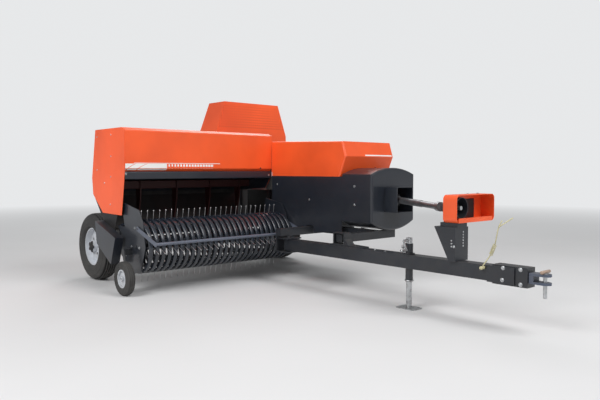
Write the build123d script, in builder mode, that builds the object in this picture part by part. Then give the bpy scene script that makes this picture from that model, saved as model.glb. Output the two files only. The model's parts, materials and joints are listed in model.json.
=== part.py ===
# A towed small square baler: a tined pickup under a sheet hood on the right, a bale chamber on the
# left, and an offset drawbar with a jack and a shaft from the tractor. It stands parked on its two
# wheels and its jack. Lengths are in millimetres. +X is the way it is towed, +Y its left side and
# +Z up. The origin is on the ground, in the middle of the overall length and width.
import os
from math import atan2, cos, degrees, hypot, radians, sin

from build123d import *

os.makedirs("parts", exist_ok=True)

# Clearances
fit = 0.3  # between pieces that turn or slide in each other
seat = 0.2  # between pieces that are fastened together

# Wheels and axle. Places along X start from the axle.
axle_x = -1522.0
tyre_d = 740.0
tyre_width = 210.0
rim_seat_d = 406.0
rim_flange = 22.0  # how far the flanges stand above the seats
rim_width = 148.0
right_wheel_y = -1245.0
left_wheel_y = 1380.0
spindle_d = 64.0
hub_d = 120.0
hub_length = 170.0
axle_z = tyre_d / 2

# Frame
beam = 110.0  # the square axle tube
rail = 80.0  # height and width of the frame's rails
frame_top = 600.0
sheet = 4.0  # covers and panels
plate = 8.0  # chamber walls and brackets

# Bale chamber
chamber_y = 920.0
chamber_width = 460.0  # inside
chamber_height = 360.0  # inside
chamber_rear = axle_x - 1250.0
chamber_front = axle_x + 1350.0
rib = 25.0  # how far the stiffeners stand out
rib_width = 40.0
feed_rear = axle_x + 200.0
feed_front = axle_x + 600.0

# Pickup hood
hood_right = -1350.0
hood_left = 535.0
hood_front = axle_x + 880.0
hood_rear = axle_x + 188.0
hood_top = 1650.0
hood_bottom = 1207.0
lip_depth = 80.0

# Drive housing and its cover
house_right = 535.0
house_left = 1310.0
house_rear = hood_front + 5
guard_x = axle_x + 2480.0
house_bottom = 500.0
house_top = 1150.0
cover_front = axle_x + 2110.0
cover_top = 1555.0

# Shaft line
drive_y = 850.0
drive_z = 910.0
joint_x = axle_x + 2560.0
ball_d = 90.0
fork_back = 64.0
fork_gap = 0.4  # between the fork and the ball
tube_d = 64.0
tube_wall = 3.5

# Drawbar
draw_y = 170.0
draw_width = 110.0
draw_height = 120.0
draw_bottom = 360.0
pivot_x = axle_x + 1620.0
pivot_pin_d = 40.0
draw_front = axle_x + 4100.0
stub_x = axle_x + 3600.0  # rear end of the shaft's bearing

# Hitch
hitch_z = 420.0
hitch_front = axle_x + 4390.0
pin_x = axle_x + 4500.0
hitch_pin_d = 28.0
jaw_gap = 44.0
jaw_plate = 18.0
jaw_width = 90.0

# Jack
jack_x = axle_x + 3250.0
jack_d = 66.0
leg_d = 50.0
jack_top = 575.0
foot_length = 200.0
foot_width = 140.0

# Pickup
reel_x = axle_x + 1020.0
reel_z = 460.0
tine_r = 360.0
bar_r = 190.0
tine_count = 26
tine_pitch = 68.0
tine_first_y = -1250.0
tine_d = 7.0
band_r = 266.0
band_width = 45.0
lift_x = axle_x + 580.0
lift_z = 470.0
lift_d = 70.0
guard_bar = (axle_x + 1440.0, 520.0)
guard_pivot = (axle_x + 1085.0, 642.0)
guard_gap = 5.5
guard_arm = 6.0
gauge_x = axle_x + 1070.0
gauge_y = -1460.0
gauge_d = 334.0
gauge_width = 85.0

# Knotter and needles
needle_pivot = (axle_x - 700.0, 830.0)
needle_r = 520.0
needle_offset = 110.0
knotter_x = axle_x - 200.0
meter_at = (axle_x - 640.0, 1080.0)

# Derived places
rim_flange_d = rim_seat_d + 2 * rim_flange
draw_top = draw_bottom + draw_height
chamber_floor = frame_top + plate
chamber_roof = chamber_floor + chamber_height
chamber_right = chamber_y - chamber_width / 2
chamber_left = chamber_y + chamber_width / 2
beam_front = axle_x + 620.0  # front face of the beam under the feed table


def side(y):
    """The upright plane at y, with X and Z as its own directions. It extrudes to the right."""
    return Plane.XZ.offset(-y)


def cross(x):
    """The upright plane at x, with Y and Z as its own directions. It extrudes forward."""
    return Plane.YZ.offset(x)


def lateral(x, y, z):
    """The axis through a point and across the machine."""
    return Axis((x, y, z), (0, 1, 0))


def wheel_plane(x, y, z):
    """A plane through a wheel's centre: its own x is across the machine, its own y is the radius."""
    return Plane(origin=(x, y, z), x_dir=(0, 1, 0), z_dir=(1, 0, 0))


# Frame: the axle tube with its spindles, the rails under the chamber, and the cross beams
table_beam_right = -1295.0
with BuildPart() as main_frame:
    hub_in = hub_length / 2 + 5
    beam_right = right_wheel_y + hub_in
    beam_left = left_wheel_y - hub_in
    with BuildSketch(side(beam_left)):
        with Locations((axle_x, axle_z)):
            RectangleRounded(beam, beam, 12)
    extrude(amount=beam_left - beam_right)
    for wheel_y, inner_y, out in ((right_wheel_y, beam_right, -1), (left_wheel_y, beam_left, 1)):
        with BuildSketch(side(inner_y)):
            with Locations((axle_x, axle_z)):
                Circle(spindle_d / 2)
        extrude(amount=-out * (abs(wheel_y - inner_y) + hub_length / 2 - 15))
    # rails under the chamber walls
    for rail_y, rail_front in ((chamber_right - 20, axle_x + 2440), (chamber_left + 20, axle_x + 1600)):
        with BuildSketch(side(rail_y + rail / 2)):
            Polygon(
                (axle_x - beam, frame_top),
                (axle_x - beam, frame_top - rail),
                (axle_x - beam / 2, axle_z),
                (axle_x + beam / 2, axle_z),
                (axle_x + beam, frame_top - rail),
                (rail_front, frame_top - rail),
                (rail_front, frame_top),
                align=None,
            )
        extrude(amount=rail)
    # the cross beam under the feed table
    with BuildSketch(side(chamber_right)):
        with Locations((beam_front - rail / 2, frame_top - rail / 2)):
            Rectangle(rail, rail)
    extrude(amount=chamber_right - table_beam_right)
    # the sloping right-hand member from the axle to the cross beam
    with BuildSketch(side(-1030)):
        Polygon(
            (axle_x - beam / 2, axle_z),
            (axle_x + beam / 2, axle_z),
            (beam_front - rail, frame_top - rail),
            (beam_front - rail, frame_top),
            (axle_x + 180, frame_top),
            (axle_x - beam / 2, axle_z + beam / 2),
            align=None,
        )
    extrude(amount=60)
    # the two cross beams that carry the drawbar
    for beam_x, from_y in ((pivot_x - 60, draw_y - 100), (axle_x + 2400, draw_y - 20)):
        with BuildSketch(side(chamber_left - 200)):
            with Locations((beam_x, frame_top - 10 - rail / 2)):
                Rectangle(rail, rail)
        extrude(amount=chamber_left - 200 - from_y)
    with BuildSketch(side(chamber_left)):
        with Locations((pivot_x - 60, frame_top - 10 - rail / 2)):
            Rectangle(rail, rail)
    extrude(amount=chamber_left - draw_y)
    # brackets that carry the housing's side panels
    for bracket_x in (axle_x + 980, axle_x + 1400):
        with BuildSketch(side(house_left - sheet - seat)):
            with Locations((bracket_x, frame_top - rail / 2)):
                Rectangle(60, 40)
        extrude(amount=house_left - sheet - seat - chamber_left)
    for bracket_x in (axle_x + 980, axle_x + 1880):
        with BuildSketch(side(chamber_right - 20)):
            with Locations((bracket_x, frame_top - rail / 2)):
                Rectangle(60, 40)
        extrude(amount=chamber_right - 20 - house_right - sheet - seat)
    # fork of the drawbar: back plate, two cheeks and the upright pin
    with BuildSketch(cross(pivot_x - 100)):
        with Locations((draw_y, (draw_bottom - 20 + frame_top - 10) / 2)):
            Rectangle(200, frame_top - 10 - draw_bottom + 20)
    extrude(amount=20)
    for cheek_z in (draw_bottom - 20, draw_top + 4):
        with BuildSketch(Plane.XY.offset(cheek_z)):
            with Locations((pivot_x - 90, draw_y)):
                Rectangle(180, 200, align=(Align.MIN, Align.CENTER))
        extrude(amount=12)
    with BuildSketch(Plane.XY.offset(draw_bottom - 30)):
        with Locations((pivot_x, draw_y)):
            Circle(pivot_pin_d / 2)
    extrude(amount=draw_height + 60)
main_frame.part.label = "main_frame"
export_step(main_frame.part, "parts/main_frame.step")

# Wheels: a tyre and a dished steel rim with its hub on each spindle
for name, y, out in (("right", right_wheel_y, -1), ("left", left_wheel_y, 1)):
    spin = lateral(axle_x, y, axle_z)
    bead = rim_flange_d / 2 + 4
    half = tyre_width / 2
    with BuildPart() as tyre:
        with BuildSketch(wheel_plane(axle_x, y, axle_z)):
            with BuildLine():
                Line((-66, rim_seat_d / 2 + seat), (66, rim_seat_d / 2 + seat))
                Line((66, rim_seat_d / 2 + seat), (66, bead))
                ThreePointArc((66, bead), (half, bead + 55), (half - 14, tyre_d / 2 - 22))
                ThreePointArc((half - 14, tyre_d / 2 - 22), (0, tyre_d / 2), (14 - half, tyre_d / 2 - 22))
                ThreePointArc((14 - half, tyre_d / 2 - 22), (-half, bead + 55), (-66, bead))
                Line((-66, bead), (-66, rim_seat_d / 2 + seat))
            make_face()
        revolve(axis=spin)
    tyre.part.label = "tyre_" + name
    export_step(tyre.part, "parts/tyre_" + name + ".step")

    with BuildPart() as rim:
        with BuildSketch(wheel_plane(axle_x, y, axle_z)):
            seat_r = rim_seat_d / 2
            with Locations((0, seat_r - 3)):
                Rectangle(rim_width, 6)
            with Locations(*((x, seat_r + rim_flange / 2) for x in (3 - rim_width / 2, rim_width / 2 - 3))):
                Rectangle(6, rim_flange)
            Polygon(
                (out * 2, seat_r - 4),
                (out * 12, seat_r - 4),
                (out * 20, 150),
                (out * 40, 110),
                (out * 40, hub_d / 2 - 4),
                (out * 32, hub_d / 2 - 4),
                (out * 32, 106),
                (out * 12, 146),
                align=None,
            )
            with Locations((0, (hub_d + spindle_d) / 4 + fit / 2)):
                Rectangle(hub_length, (hub_d - spindle_d) / 2 - fit)
            with Locations((out * (hub_length / 2 - 5), hub_d / 4)):
                Rectangle(10, hub_d / 2)
        revolve(axis=spin)
    rim.part.label = "rim_" + name
    export_step(rim.part, "parts/rim_" + name + ".step")

# Bale chamber: floor, roof and two walls of plate. The roof and the walls carry ring stiffeners.
ring_places = (
    chamber_rear,
    axle_x - 830,
    axle_x - 475,
    axle_x + 20,
    feed_front + 40,
    chamber_front - rib_width,
)
needle_lines = (chamber_y - needle_offset, chamber_y + needle_offset)
chamber_z = chamber_floor + chamber_height / 2
wall_top = chamber_roof + plate
needle_slot_length = 230.0
needle_slot_width = 34.0
with BuildPart() as bale_floor:
    with BuildSketch(Plane.XY.offset(frame_top)):
        with Locations((chamber_rear, chamber_y)):
            Rectangle(
                chamber_front - chamber_rear,
                chamber_width + 2 * plate,
                align=(Align.MIN, Align.CENTER),
            )
        with Locations(*((knotter_x, y) for y in needle_lines)):
            SlotOverall(needle_slot_length, needle_slot_width, mode=Mode.SUBTRACT)
    extrude(amount=plate)
bale_floor.part.label = "bale_floor"
export_step(bale_floor.part, "parts/bale_floor.step")

with BuildPart() as bale_roof:
    with BuildSketch(Plane.XY.offset(chamber_roof)):
        with Locations((chamber_rear, chamber_y)):
            Rectangle(
                chamber_front - chamber_rear,
                chamber_width + 2 * plate,
                align=(Align.MIN, Align.CENTER),
            )
    extrude(amount=plate)
    for ring_x in ring_places:
        with BuildSketch(cross(ring_x)):
            with Locations((chamber_y, wall_top + rib / 2)):
                Rectangle(chamber_width + 2 * plate + 2 * rib, rib)
        extrude(amount=rib_width)
    with BuildSketch(Plane.XY.offset(chamber_roof)):
        with Locations(*((knotter_x, y) for y in needle_lines)):
            SlotOverall(needle_slot_length, needle_slot_width)
        with Locations((meter_at[0], chamber_y)):
            SlotOverall(200, 24)
    extrude(amount=plate + rib, mode=Mode.SUBTRACT)
bale_roof.part.label = "bale_roof"
export_step(bale_roof.part, "parts/bale_roof.step")

# The right wall is in two lengths, behind and in front of the feed opening
right_lengths = ((chamber_rear, feed_rear), (feed_front, chamber_front))
left_lengths = ((chamber_rear, chamber_front),)
for name, inner_y, out, lengths in (
    ("right", chamber_right, -1, right_lengths),
    ("left", chamber_left, 1, left_lengths),
):
    with BuildPart() as bale_wall:
        for start_x, end_x in lengths:
            with BuildSketch(side(inner_y)):
                with Locations((start_x, chamber_floor)):
                    Rectangle(end_x - start_x, chamber_height, align=Align.MIN)
            extrude(amount=-out * plate)
        with BuildSketch(side(inner_y + out * plate)):
            for ring_x in ring_places:
                with Locations((ring_x, frame_top)):
                    Rectangle(rib_width, wall_top - frame_top, align=Align.MIN)
        extrude(amount=-out * rib)
        # windows behind the needles
        with BuildSketch(side(inner_y)):
            with Locations((axle_x - 1010, chamber_z), (axle_x - 610, chamber_z)):
                RectangleRounded(240, 150, 30)
        extrude(amount=-out * (plate + rib), mode=Mode.SUBTRACT)
    bale_wall.part.label = "bale_wall_" + name
    export_step(bale_wall.part, "parts/bale_wall_" + name + ".step")

# Plunger, gearbox: plain masses inside the chamber and the housing
plunger_height = chamber_height - 10
plunger_z = chamber_floor + seat + plunger_height / 2
with BuildPart() as plunger:
    with BuildSketch(cross(axle_x + 680)):
        with Locations((chamber_y, plunger_z)):
            Rectangle(chamber_width - 10, plunger_height)
    extrude(amount=330)
    with BuildSketch(cross(axle_x + 672)):
        for slot_y in needle_lines:
            with Locations((slot_y, plunger_z)):
                Rectangle(40, plunger_height)
    extrude(amount=90, mode=Mode.SUBTRACT)
plunger.part.label = "plunger"
export_step(plunger.part, "parts/plunger.step")

gear_rear = axle_x + 1420
gear_front = axle_x + 1780
with BuildPart() as gearbox:
    with BuildSketch(cross(gear_rear)):
        with Locations((chamber_y, frame_top + 12)):
            Rectangle(chamber_left - chamber_right + 100, 24)
        with Locations((chamber_y, frame_top + 250)):
            RectangleRounded(380, 460, 60)
    extrude(amount=gear_front - gear_rear)
    with BuildSketch(cross(gear_front - 60)):
        with Locations((drive_y, drive_z)):
            Circle(30 + fit)
    extrude(amount=80, mode=Mode.SUBTRACT)
    # the crank shaft's bosses on both sides
    with BuildSketch(side(chamber_left)):
        with Locations(((gear_rear + gear_front) / 2 - 40, frame_top + 250)):
            Circle(90)
    extrude(amount=chamber_left - chamber_right)
gearbox.part.label = "gearbox"
export_step(gearbox.part, "parts/gearbox.step")

# Flywheel with its shaft, which ends in the socket of the shaft joint
with BuildPart() as flywheel:
    fly_x = axle_x + 1880
    with BuildSketch(cross(gear_front - 50)):
        with Locations((drive_y, drive_z)):
            Circle(30)
    extrude(amount=joint_x - 90 - gear_front + 50)
    with BuildSketch(cross(fly_x)):
        with Locations((drive_y, drive_z)):
            Circle(290)
            Circle(220, mode=Mode.SUBTRACT)
    extrude(amount=130)
    with BuildSketch(cross(fly_x + 45)):
        with Locations((drive_y, drive_z)):
            Circle(225)
    extrude(amount=30)
    with BuildSketch(cross(fly_x)):
        with Locations((drive_y, drive_z)):
            Circle(75)
    extrude(amount=160)
    with BuildSketch(cross(joint_x - 90)):
        with Locations((drive_y, drive_z)):
            Circle(62)
    extrude(amount=90 - fork_back)
flywheel.part.label = "flywheel"
export_step(flywheel.part, "parts/flywheel.step")

# The joint fork: a plate on the end of the flywheel's shaft, with one arm above the
# shaft's ball and one below it.
with BuildPart() as joint_fork:
    with BuildSketch(cross(joint_x - fork_back + seat)):
        with Locations((drive_y, drive_z)):
            Circle(62)
    extrude(amount=fork_back - seat - ball_d / 2 - fork_gap)
    with BuildSketch(cross(joint_x - fork_back + seat)):
        for turn in (-1, 1):
            with Locations((drive_y, drive_z + turn * (ball_d / 2 + fork_gap + 5.5))):
                Rectangle(48, 11)
    extrude(amount=fork_back + 2)
joint_fork.part.label = "joint_fork"
export_step(joint_fork.part, "parts/joint_fork.step")

# Feed table: floor, sloping back sheet and the arch over the right wheel
hood_back = (axle_x + 112, 955.0)
arch_x = axle_x + 430
arch_y = -1120.0
with BuildPart() as feed_table:
    with BuildSketch(Plane.XY.offset(frame_top)):
        with Locations((feed_rear, chamber_right - plate - seat)):
            Rectangle(
                beam_front - feed_rear,
                chamber_right - plate - arch_y,
                align=(Align.MIN, Align.MAX),
            )
        with Locations((arch_x, arch_y)):
            Rectangle(
                beam_front - arch_x,
                arch_y - hood_right - sheet - seat,
                align=(Align.MIN, Align.MAX),
            )
    extrude(amount=sheet)
    for start_x, from_y, to_y in (
        (feed_rear, hood_left, arch_y - sheet),
        (arch_x, arch_y, hood_right + sheet + seat),
    ):
        with BuildSketch(side(from_y)):
            Polygon(
                (start_x, frame_top),
                (start_x + sheet, frame_top + sheet),
                (hood_back[0] + sheet, hood_back[1]),
                (hood_back[0], hood_back[1]),
                align=None,
            )
        extrude(amount=from_y - to_y)
    with BuildSketch(side(arch_y)):
        Polygon(
            (feed_rear, frame_top),
            (arch_x + sheet, frame_top),
            (hood_back[0] + sheet, hood_back[1]),
            (hood_back[0], hood_back[1]),
            align=None,
        )
    extrude(amount=sheet)
    with BuildSketch(side(hood_right + sheet + seat + sheet)):
        Polygon(
            (arch_x, frame_top),
            (beam_front, frame_top),
            (beam_front + 100, 860),
            (hood_back[0] + 90, 860),
            align=None,
        )
    extrude(amount=sheet)
feed_table.part.label = "feed_table"
export_step(feed_table.part, "parts/feed_table.step")

# Feeder: a cross beam with three forks that push the crop into the chamber
with BuildPart() as feeder:
    feeder_x = axle_x + 400
    feeder_z = 1060.0
    with BuildSketch(side(hood_left - sheet - seat)):
        with Locations((feeder_x, feeder_z)):
            RectangleRounded(70, 90, 10)
    extrude(amount=hood_left - hood_right - 2 * sheet - 2 * seat)
    for fork_y in (-950.0, -500.0, -50.0, 380.0):
        with BuildSketch(side(fork_y)):
            Polygon(
                (feeder_x - 60, feeder_z + 40),
                (feeder_x + 60, feeder_z + 40),
                (feeder_x + 40, 900),
                (feeder_x - 20, 660),
                (feeder_x - 40, 660),
                (feeder_x - 50, 900),
                align=None,
            )
        extrude(amount=14)
feeder.part.label = "feeder"
export_step(feeder.part, "parts/feeder.step")

# Pickup hood: a folded sheet, open below and in front
with BuildPart() as pickup_hood:
    with BuildSketch(side(hood_left - sheet - seat)):
        with BuildLine():
            FilletPolyline(
                (hood_front - 40, hood_bottom),
                (hood_front - 4, hood_bottom + 30),
                (hood_front - 2, hood_top - 30),
                (hood_front - 60, hood_top - 2),
                (hood_rear, hood_top - 4),
                (axle_x + 89, 1133),
                (hood_back[0] + 2, hood_back[1] + 2),
                radius=8,
            )
        trace(line_width=sheet)
    extrude(amount=hood_left - hood_right - 2 * sheet - 2 * seat)
pickup_hood.part.label = "pickup_hood"
export_step(pickup_hood.part, "parts/pickup_hood.step")

with BuildPart() as hood_lip:
    with BuildSketch(side(hood_left - sheet - seat)):
        with BuildLine():
            FilletPolyline(
                (hood_front - 60, hood_bottom - 4),
                (hood_front - 10, hood_bottom - 4),
                (hood_front - 10, hood_bottom - lip_depth),
                (hood_front - 40, hood_bottom - lip_depth),
                radius=8,
            )
        trace(line_width=sheet)
    extrude(amount=hood_left - hood_right - 2 * sheet - 2 * seat)
hood_lip.part.label = "hood_lip"
export_step(hood_lip.part, "parts/hood_lip.step")

# The hood's end panels
for name, y, low in (("right", hood_right + sheet, True), ("left", hood_left, False)):
    with BuildPart() as hood_end:
        with BuildSketch(side(y)) as outline:
            if low:
                Polygon(
                    (hood_rear - 2, hood_top),
                    (hood_front - 60, hood_top),
                    (hood_front, hood_top - 30),
                    (hood_front - 8, hood_bottom),
                    (axle_x + 790, 760),
                    (axle_x + 350, 766),
                    (hood_back[0] - 4, hood_back[1]),
                    (axle_x + 86, 1133),
                    align=None,
                )
            else:
                Polygon(
                    (hood_rear - 2, hood_top),
                    (hood_front - 60, hood_top),
                    (hood_front, hood_top - 30),
                    (hood_front, hood_bottom - lip_depth + 20),
                    (hood_front - 30, hood_bottom - lip_depth),
                    (hood_front - 120, chamber_roof + 40),
                    (hood_back[0] - 4, hood_back[1]),
                    (axle_x + 86, 1133),
                    align=None,
                )
            fillet(outline.vertices(), 10)
        extrude(amount=sheet)
    hood_end.part.label = "hood_end_" + name
    export_step(hood_end.part, "parts/hood_end_" + name + ".step")

# Wheel deflector: a plate beside the right wheel, folded inwards along its top and front edges
deflector_y = -1440.0
deflector_outline = (
    (axle_x + 352, 684),
    (axle_x + 827, 538),
    (axle_x + 721, 265),
    (axle_x + 386, 449),
)
deflector_depth = hood_right + sheet - seat - deflector_y
with BuildPart() as wheel_deflector:
    with BuildSketch(side(deflector_y)) as deflector_face:
        Polygon(*deflector_outline, align=None)
        fillet(deflector_face.vertices(), 8)
    extrude(amount=-sheet)
    with BuildSketch(side(deflector_y)) as deflector_edge:
        with BuildLine():
            Polyline(*deflector_outline[:3])
        trace(line_width=2 * sheet)
        Polygon(*deflector_outline, align=None, mode=Mode.INTERSECT)
    extrude(amount=-deflector_depth)
wheel_deflector.part.label = "wheel_deflector"
export_step(wheel_deflector.part, "parts/wheel_deflector.step")

# Drive housing: two side panels. The left one is folded inwards in front, against the guard.
shell_rear = axle_x + 2065
shell_left = 1210.0
shell_top = 1243.0
shell_bottom = 592.0
shell_side_low = 680.0
shell_side_high = 1175.0
panel_front = axle_x + 2300
panel_outline = (
    (house_rear, house_bottom),
    (pivot_x - 120, house_bottom),
    (pivot_x - 110, frame_top),
    (pivot_x - 10, frame_top),
    (pivot_x, house_bottom + 20),
    (shell_rear - 12, house_bottom + 62),
    (shell_rear - 10, shell_side_low + 10),
    (panel_front, shell_side_low + 10),
    (panel_front, house_top),
    (house_rear, house_top),
)
with BuildPart() as housing_right:
    with BuildSketch(side(house_right + sheet)):
        Polygon(*panel_outline, align=None)
    extrude(amount=sheet)
housing_right.part.label = "housing_right"
export_step(housing_right.part, "parts/housing_right.step")

with BuildPart() as housing_left:
    with BuildSketch(side(house_left)):
        Polygon(*panel_outline, align=None)
    extrude(amount=sheet)
    with BuildSketch(cross(panel_front - sheet)):
        with Locations((shell_left + seat, shell_side_low + 10)):
            Rectangle(
                house_left - shell_left - seat,
                house_top - shell_side_low - 10,
                align=Align.MIN,
            )
    extrude(amount=sheet)
housing_left.part.label = "housing_left"
export_step(housing_left.part, "parts/housing_left.step")

# Front guard: a rounded drum-like shell over the flywheel, with a square shroud for the shaft
shell_right = house_right - sheet - seat
shell_mid = (shell_right + shell_left) / 2
shroud_centre = (848.0, 915.0)
shroud_width = 245.0
shroud_height = 258.0
shroud_reach = 174.0
with BuildPart() as front_guard:
    with BuildSketch(cross(shell_rear)):
        with BuildLine():
            Line((shell_right, shell_side_low), (shell_right, shell_side_high))
            ThreePointArc(
                (shell_right, shell_side_high),
                (shell_mid, shell_top),
                (shell_left, shell_side_high),
            )
            Line((shell_left, shell_side_high), (shell_left, shell_side_low))
            ThreePointArc(
                (shell_left, shell_side_low),
                (shell_mid, shell_bottom),
                (shell_right, shell_side_low),
            )
        make_face()
    extrude(amount=guard_x + sheet - shell_rear)
    fillet(front_guard.faces().sort_by(Axis.X)[-1].edges(), 22)
    offset(amount=-sheet, openings=front_guard.faces().sort_by(Axis.X)[0])
    with BuildSketch(cross(guard_x)):
        with Locations(shroud_centre):
            Rectangle(shroud_width, shroud_height)
    extrude(amount=shroud_reach)
    with BuildSketch(cross(guard_x - 1)):
        with Locations(shroud_centre):
            Rectangle(shroud_width - 2 * sheet, shroud_height - 2 * sheet)
    extrude(amount=shroud_reach + 2, mode=Mode.SUBTRACT)
front_guard.part.label = "front_guard"
export_step(front_guard.part, "parts/front_guard.step")

# Front cover over the drive: an orange shell with a creased nose
with BuildPart() as front_cover:
    with BuildSketch(side(house_left)):
        Polygon(
            (house_rear, house_top),
            (house_rear, cover_top + 4),
            (cover_front - 50, cover_top - 30),
            (cover_front, cover_top - 190),
            (cover_front - 90, house_top),
            align=None,
        )
    extrude(amount=house_left - house_right)
    upright = front_cover.edges().filter_by(lambda e: abs(e.tangent_at(0.5).Y) < 0.1)
    fillet([e for e in upright if e.center().X > house_rear + 20 and e.center().Z > house_top + 5], 18)
    low_face = front_cover.faces().sort_by(Axis.Z)[0]
    offset(amount=-sheet, openings=low_face)
front_cover.part.label = "front_cover"
export_step(front_cover.part, "parts/front_cover.step")

# Knotter: two stands, a shaft and two toothed discs on the chamber
tower_hinge = (axle_x - 395.0, wall_top + 196)
tower_bottom = wall_top + 214
tower_fold = wall_top + 714
tower_top = wall_top + 1134
tower_length = 400.0
tower_width = 1170.0
tower_y = 915.0
with BuildPart() as knotter:
    for stand_y in (chamber_y - 220, chamber_y + 220):
        with BuildSketch(side(stand_y + 6)):
            Polygon(
                (knotter_x - 120, chamber_roof + plate),
                (knotter_x + 120, chamber_roof + plate),
                (knotter_x + 50, 1200),
                (knotter_x - 50, 1200),
                align=None,
            )
        extrude(amount=12)
    with BuildSketch(side(chamber_y + 240)):
        with Locations((knotter_x, wall_top + 174)):
            Circle(22)
    extrude(amount=480)
    for disc_y in (chamber_y - needle_offset - 45, chamber_y + needle_offset - 45):
        with BuildSketch(side(disc_y)):
            with Locations((knotter_x, wall_top + 174)):
                Circle(110)
        extrude(amount=22)
    for post_y in (chamber_y - 200, chamber_y + 200):
        with BuildSketch(Plane.XY.offset(chamber_roof + plate)):
            with Locations((tower_hinge[0], post_y)):
                Rectangle(40, 60)
        extrude(amount=tower_hinge[1] - wall_top)
    with BuildSketch(side(chamber_y + 565)):
        with Locations(tower_hinge):
            Circle(12)
    extrude(amount=1130)
knotter.part.label = "knotter"
export_step(knotter.part, "parts/knotter.step")

# Knotter cover: a tapered hood on a straight skirt, hinged along its lower rear edge
with BuildPart() as knotter_cover:
    for inset, mode in ((0, Mode.ADD), (sheet, Mode.SUBTRACT)):
        with BuildSketch(Plane.XY.offset(tower_bottom - inset)):
            with Locations((knotter_x, tower_y)):
                Rectangle(tower_length - 2 * inset, tower_width - 2 * inset)
        extrude(amount=tower_fold - tower_bottom + inset, mode=mode)
        with BuildSketch(Plane.XY.offset(tower_fold)):
            with Locations((knotter_x, tower_y)):
                Rectangle(tower_length - 2 * inset, tower_width - 2 * inset)
        with BuildSketch(Plane.XY.offset(tower_top - inset)):
            with Locations((knotter_x, tower_y + 10)):
                Rectangle(360 - 2 * inset, 890 - 2 * inset)
        loft(mode=mode)
    for ear_y in (chamber_y - 500, chamber_y, chamber_y + 500):
        with BuildSketch(side(ear_y + 20)):
            with Locations(tower_hinge):
                Circle(22)
            with Locations((tower_hinge[0], tower_hinge[1] + 12)):
                Rectangle(16, 20)
            with Locations(tower_hinge):
                Circle(12 + fit, mode=Mode.SUBTRACT)
        extrude(amount=40)
knotter_cover.part.label = "knotter_cover"
export_step(knotter_cover.part, "parts/knotter_cover.step")

# Needle yoke: two arms, a cross bar under the chamber and two curved needles
with BuildPart() as needle_yoke:
    home = radians(-113)
    bar_at = (needle_pivot[0] + needle_r * cos(home), needle_pivot[1] + needle_r * sin(home))
    arm_in = chamber_width / 2 + plate + rib + 10
    for arm_y in (chamber_y + arm_in, chamber_y - arm_in - 12):
        with BuildSketch(side(arm_y + 12)):
            with BuildLine():
                Polyline(needle_pivot, bar_at)
            trace(line_width=50)
            with Locations(needle_pivot, bar_at):
                Circle(34)
            with Locations(needle_pivot):
                Circle(20 + fit, mode=Mode.SUBTRACT)
        extrude(amount=12)
    with BuildSketch(side(chamber_y + arm_in + 6)):
        with Locations(bar_at):
            Circle(24)
    extrude(amount=2 * arm_in + 12)
    for needle_y in (chamber_y - needle_offset, chamber_y + needle_offset):
        with BuildSketch(side(needle_y + 6)):
            with BuildLine():
                CenterArc(needle_pivot, needle_r, -113, 80)
            trace(line_width=24)
        extrude(amount=12)
needle_yoke.part.label = "needle_yoke"
export_step(needle_yoke.part, "parts/needle_yoke.step")

# Needle pivots: a stub on each chamber wall
with BuildPart() as needle_pins:
    for pin_y, reach in ((chamber_left + plate + seat, 1), (chamber_right - plate - seat, -1)):
        with BuildSketch(side(pin_y)):
            with Locations(needle_pivot):
                Circle(20)
        extrude(amount=-reach * (rib + 36))
        with BuildSketch(side(pin_y)):
            with Locations(needle_pivot):
                Circle(45)
        extrude(amount=-reach * (rib + 4))
needle_pins.part.label = "needle_pins"
export_step(needle_pins.part, "parts/needle_pins.step")

# Measuring wheel: a star wheel that the bale turns, between two ears
with BuildPart() as meter_wheel:
    with BuildSketch(side(chamber_y + 6)):
        with Locations(meter_at):
            Circle(95)
            with PolarLocations(100, 12):
                RegularPolygon(18, 3)
            Circle(8 + fit, mode=Mode.SUBTRACT)
    extrude(amount=12)
meter_wheel.part.label = "meter_wheel"
export_step(meter_wheel.part, "parts/meter_wheel.step")

with BuildPart() as meter_stand:
    for ear_y in (chamber_y + 20, chamber_y - 14):
        with BuildSketch(side(ear_y)):
            Polygon(
                (meter_at[0] - 120, chamber_roof + plate),
                (meter_at[0] - 80, chamber_roof + plate),
                (meter_at[0] + 20, meter_at[1]),
                (meter_at[0], meter_at[1] + 20),
                (meter_at[0] - 20, meter_at[1] + 10),
                align=None,
            )
        extrude(amount=6)
    with BuildSketch(side(chamber_y + 24)):
        with Locations(meter_at):
            Circle(8)
    extrude(amount=48)
meter_stand.part.label = "meter_stand"
export_step(meter_stand.part, "parts/meter_stand.step")

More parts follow.
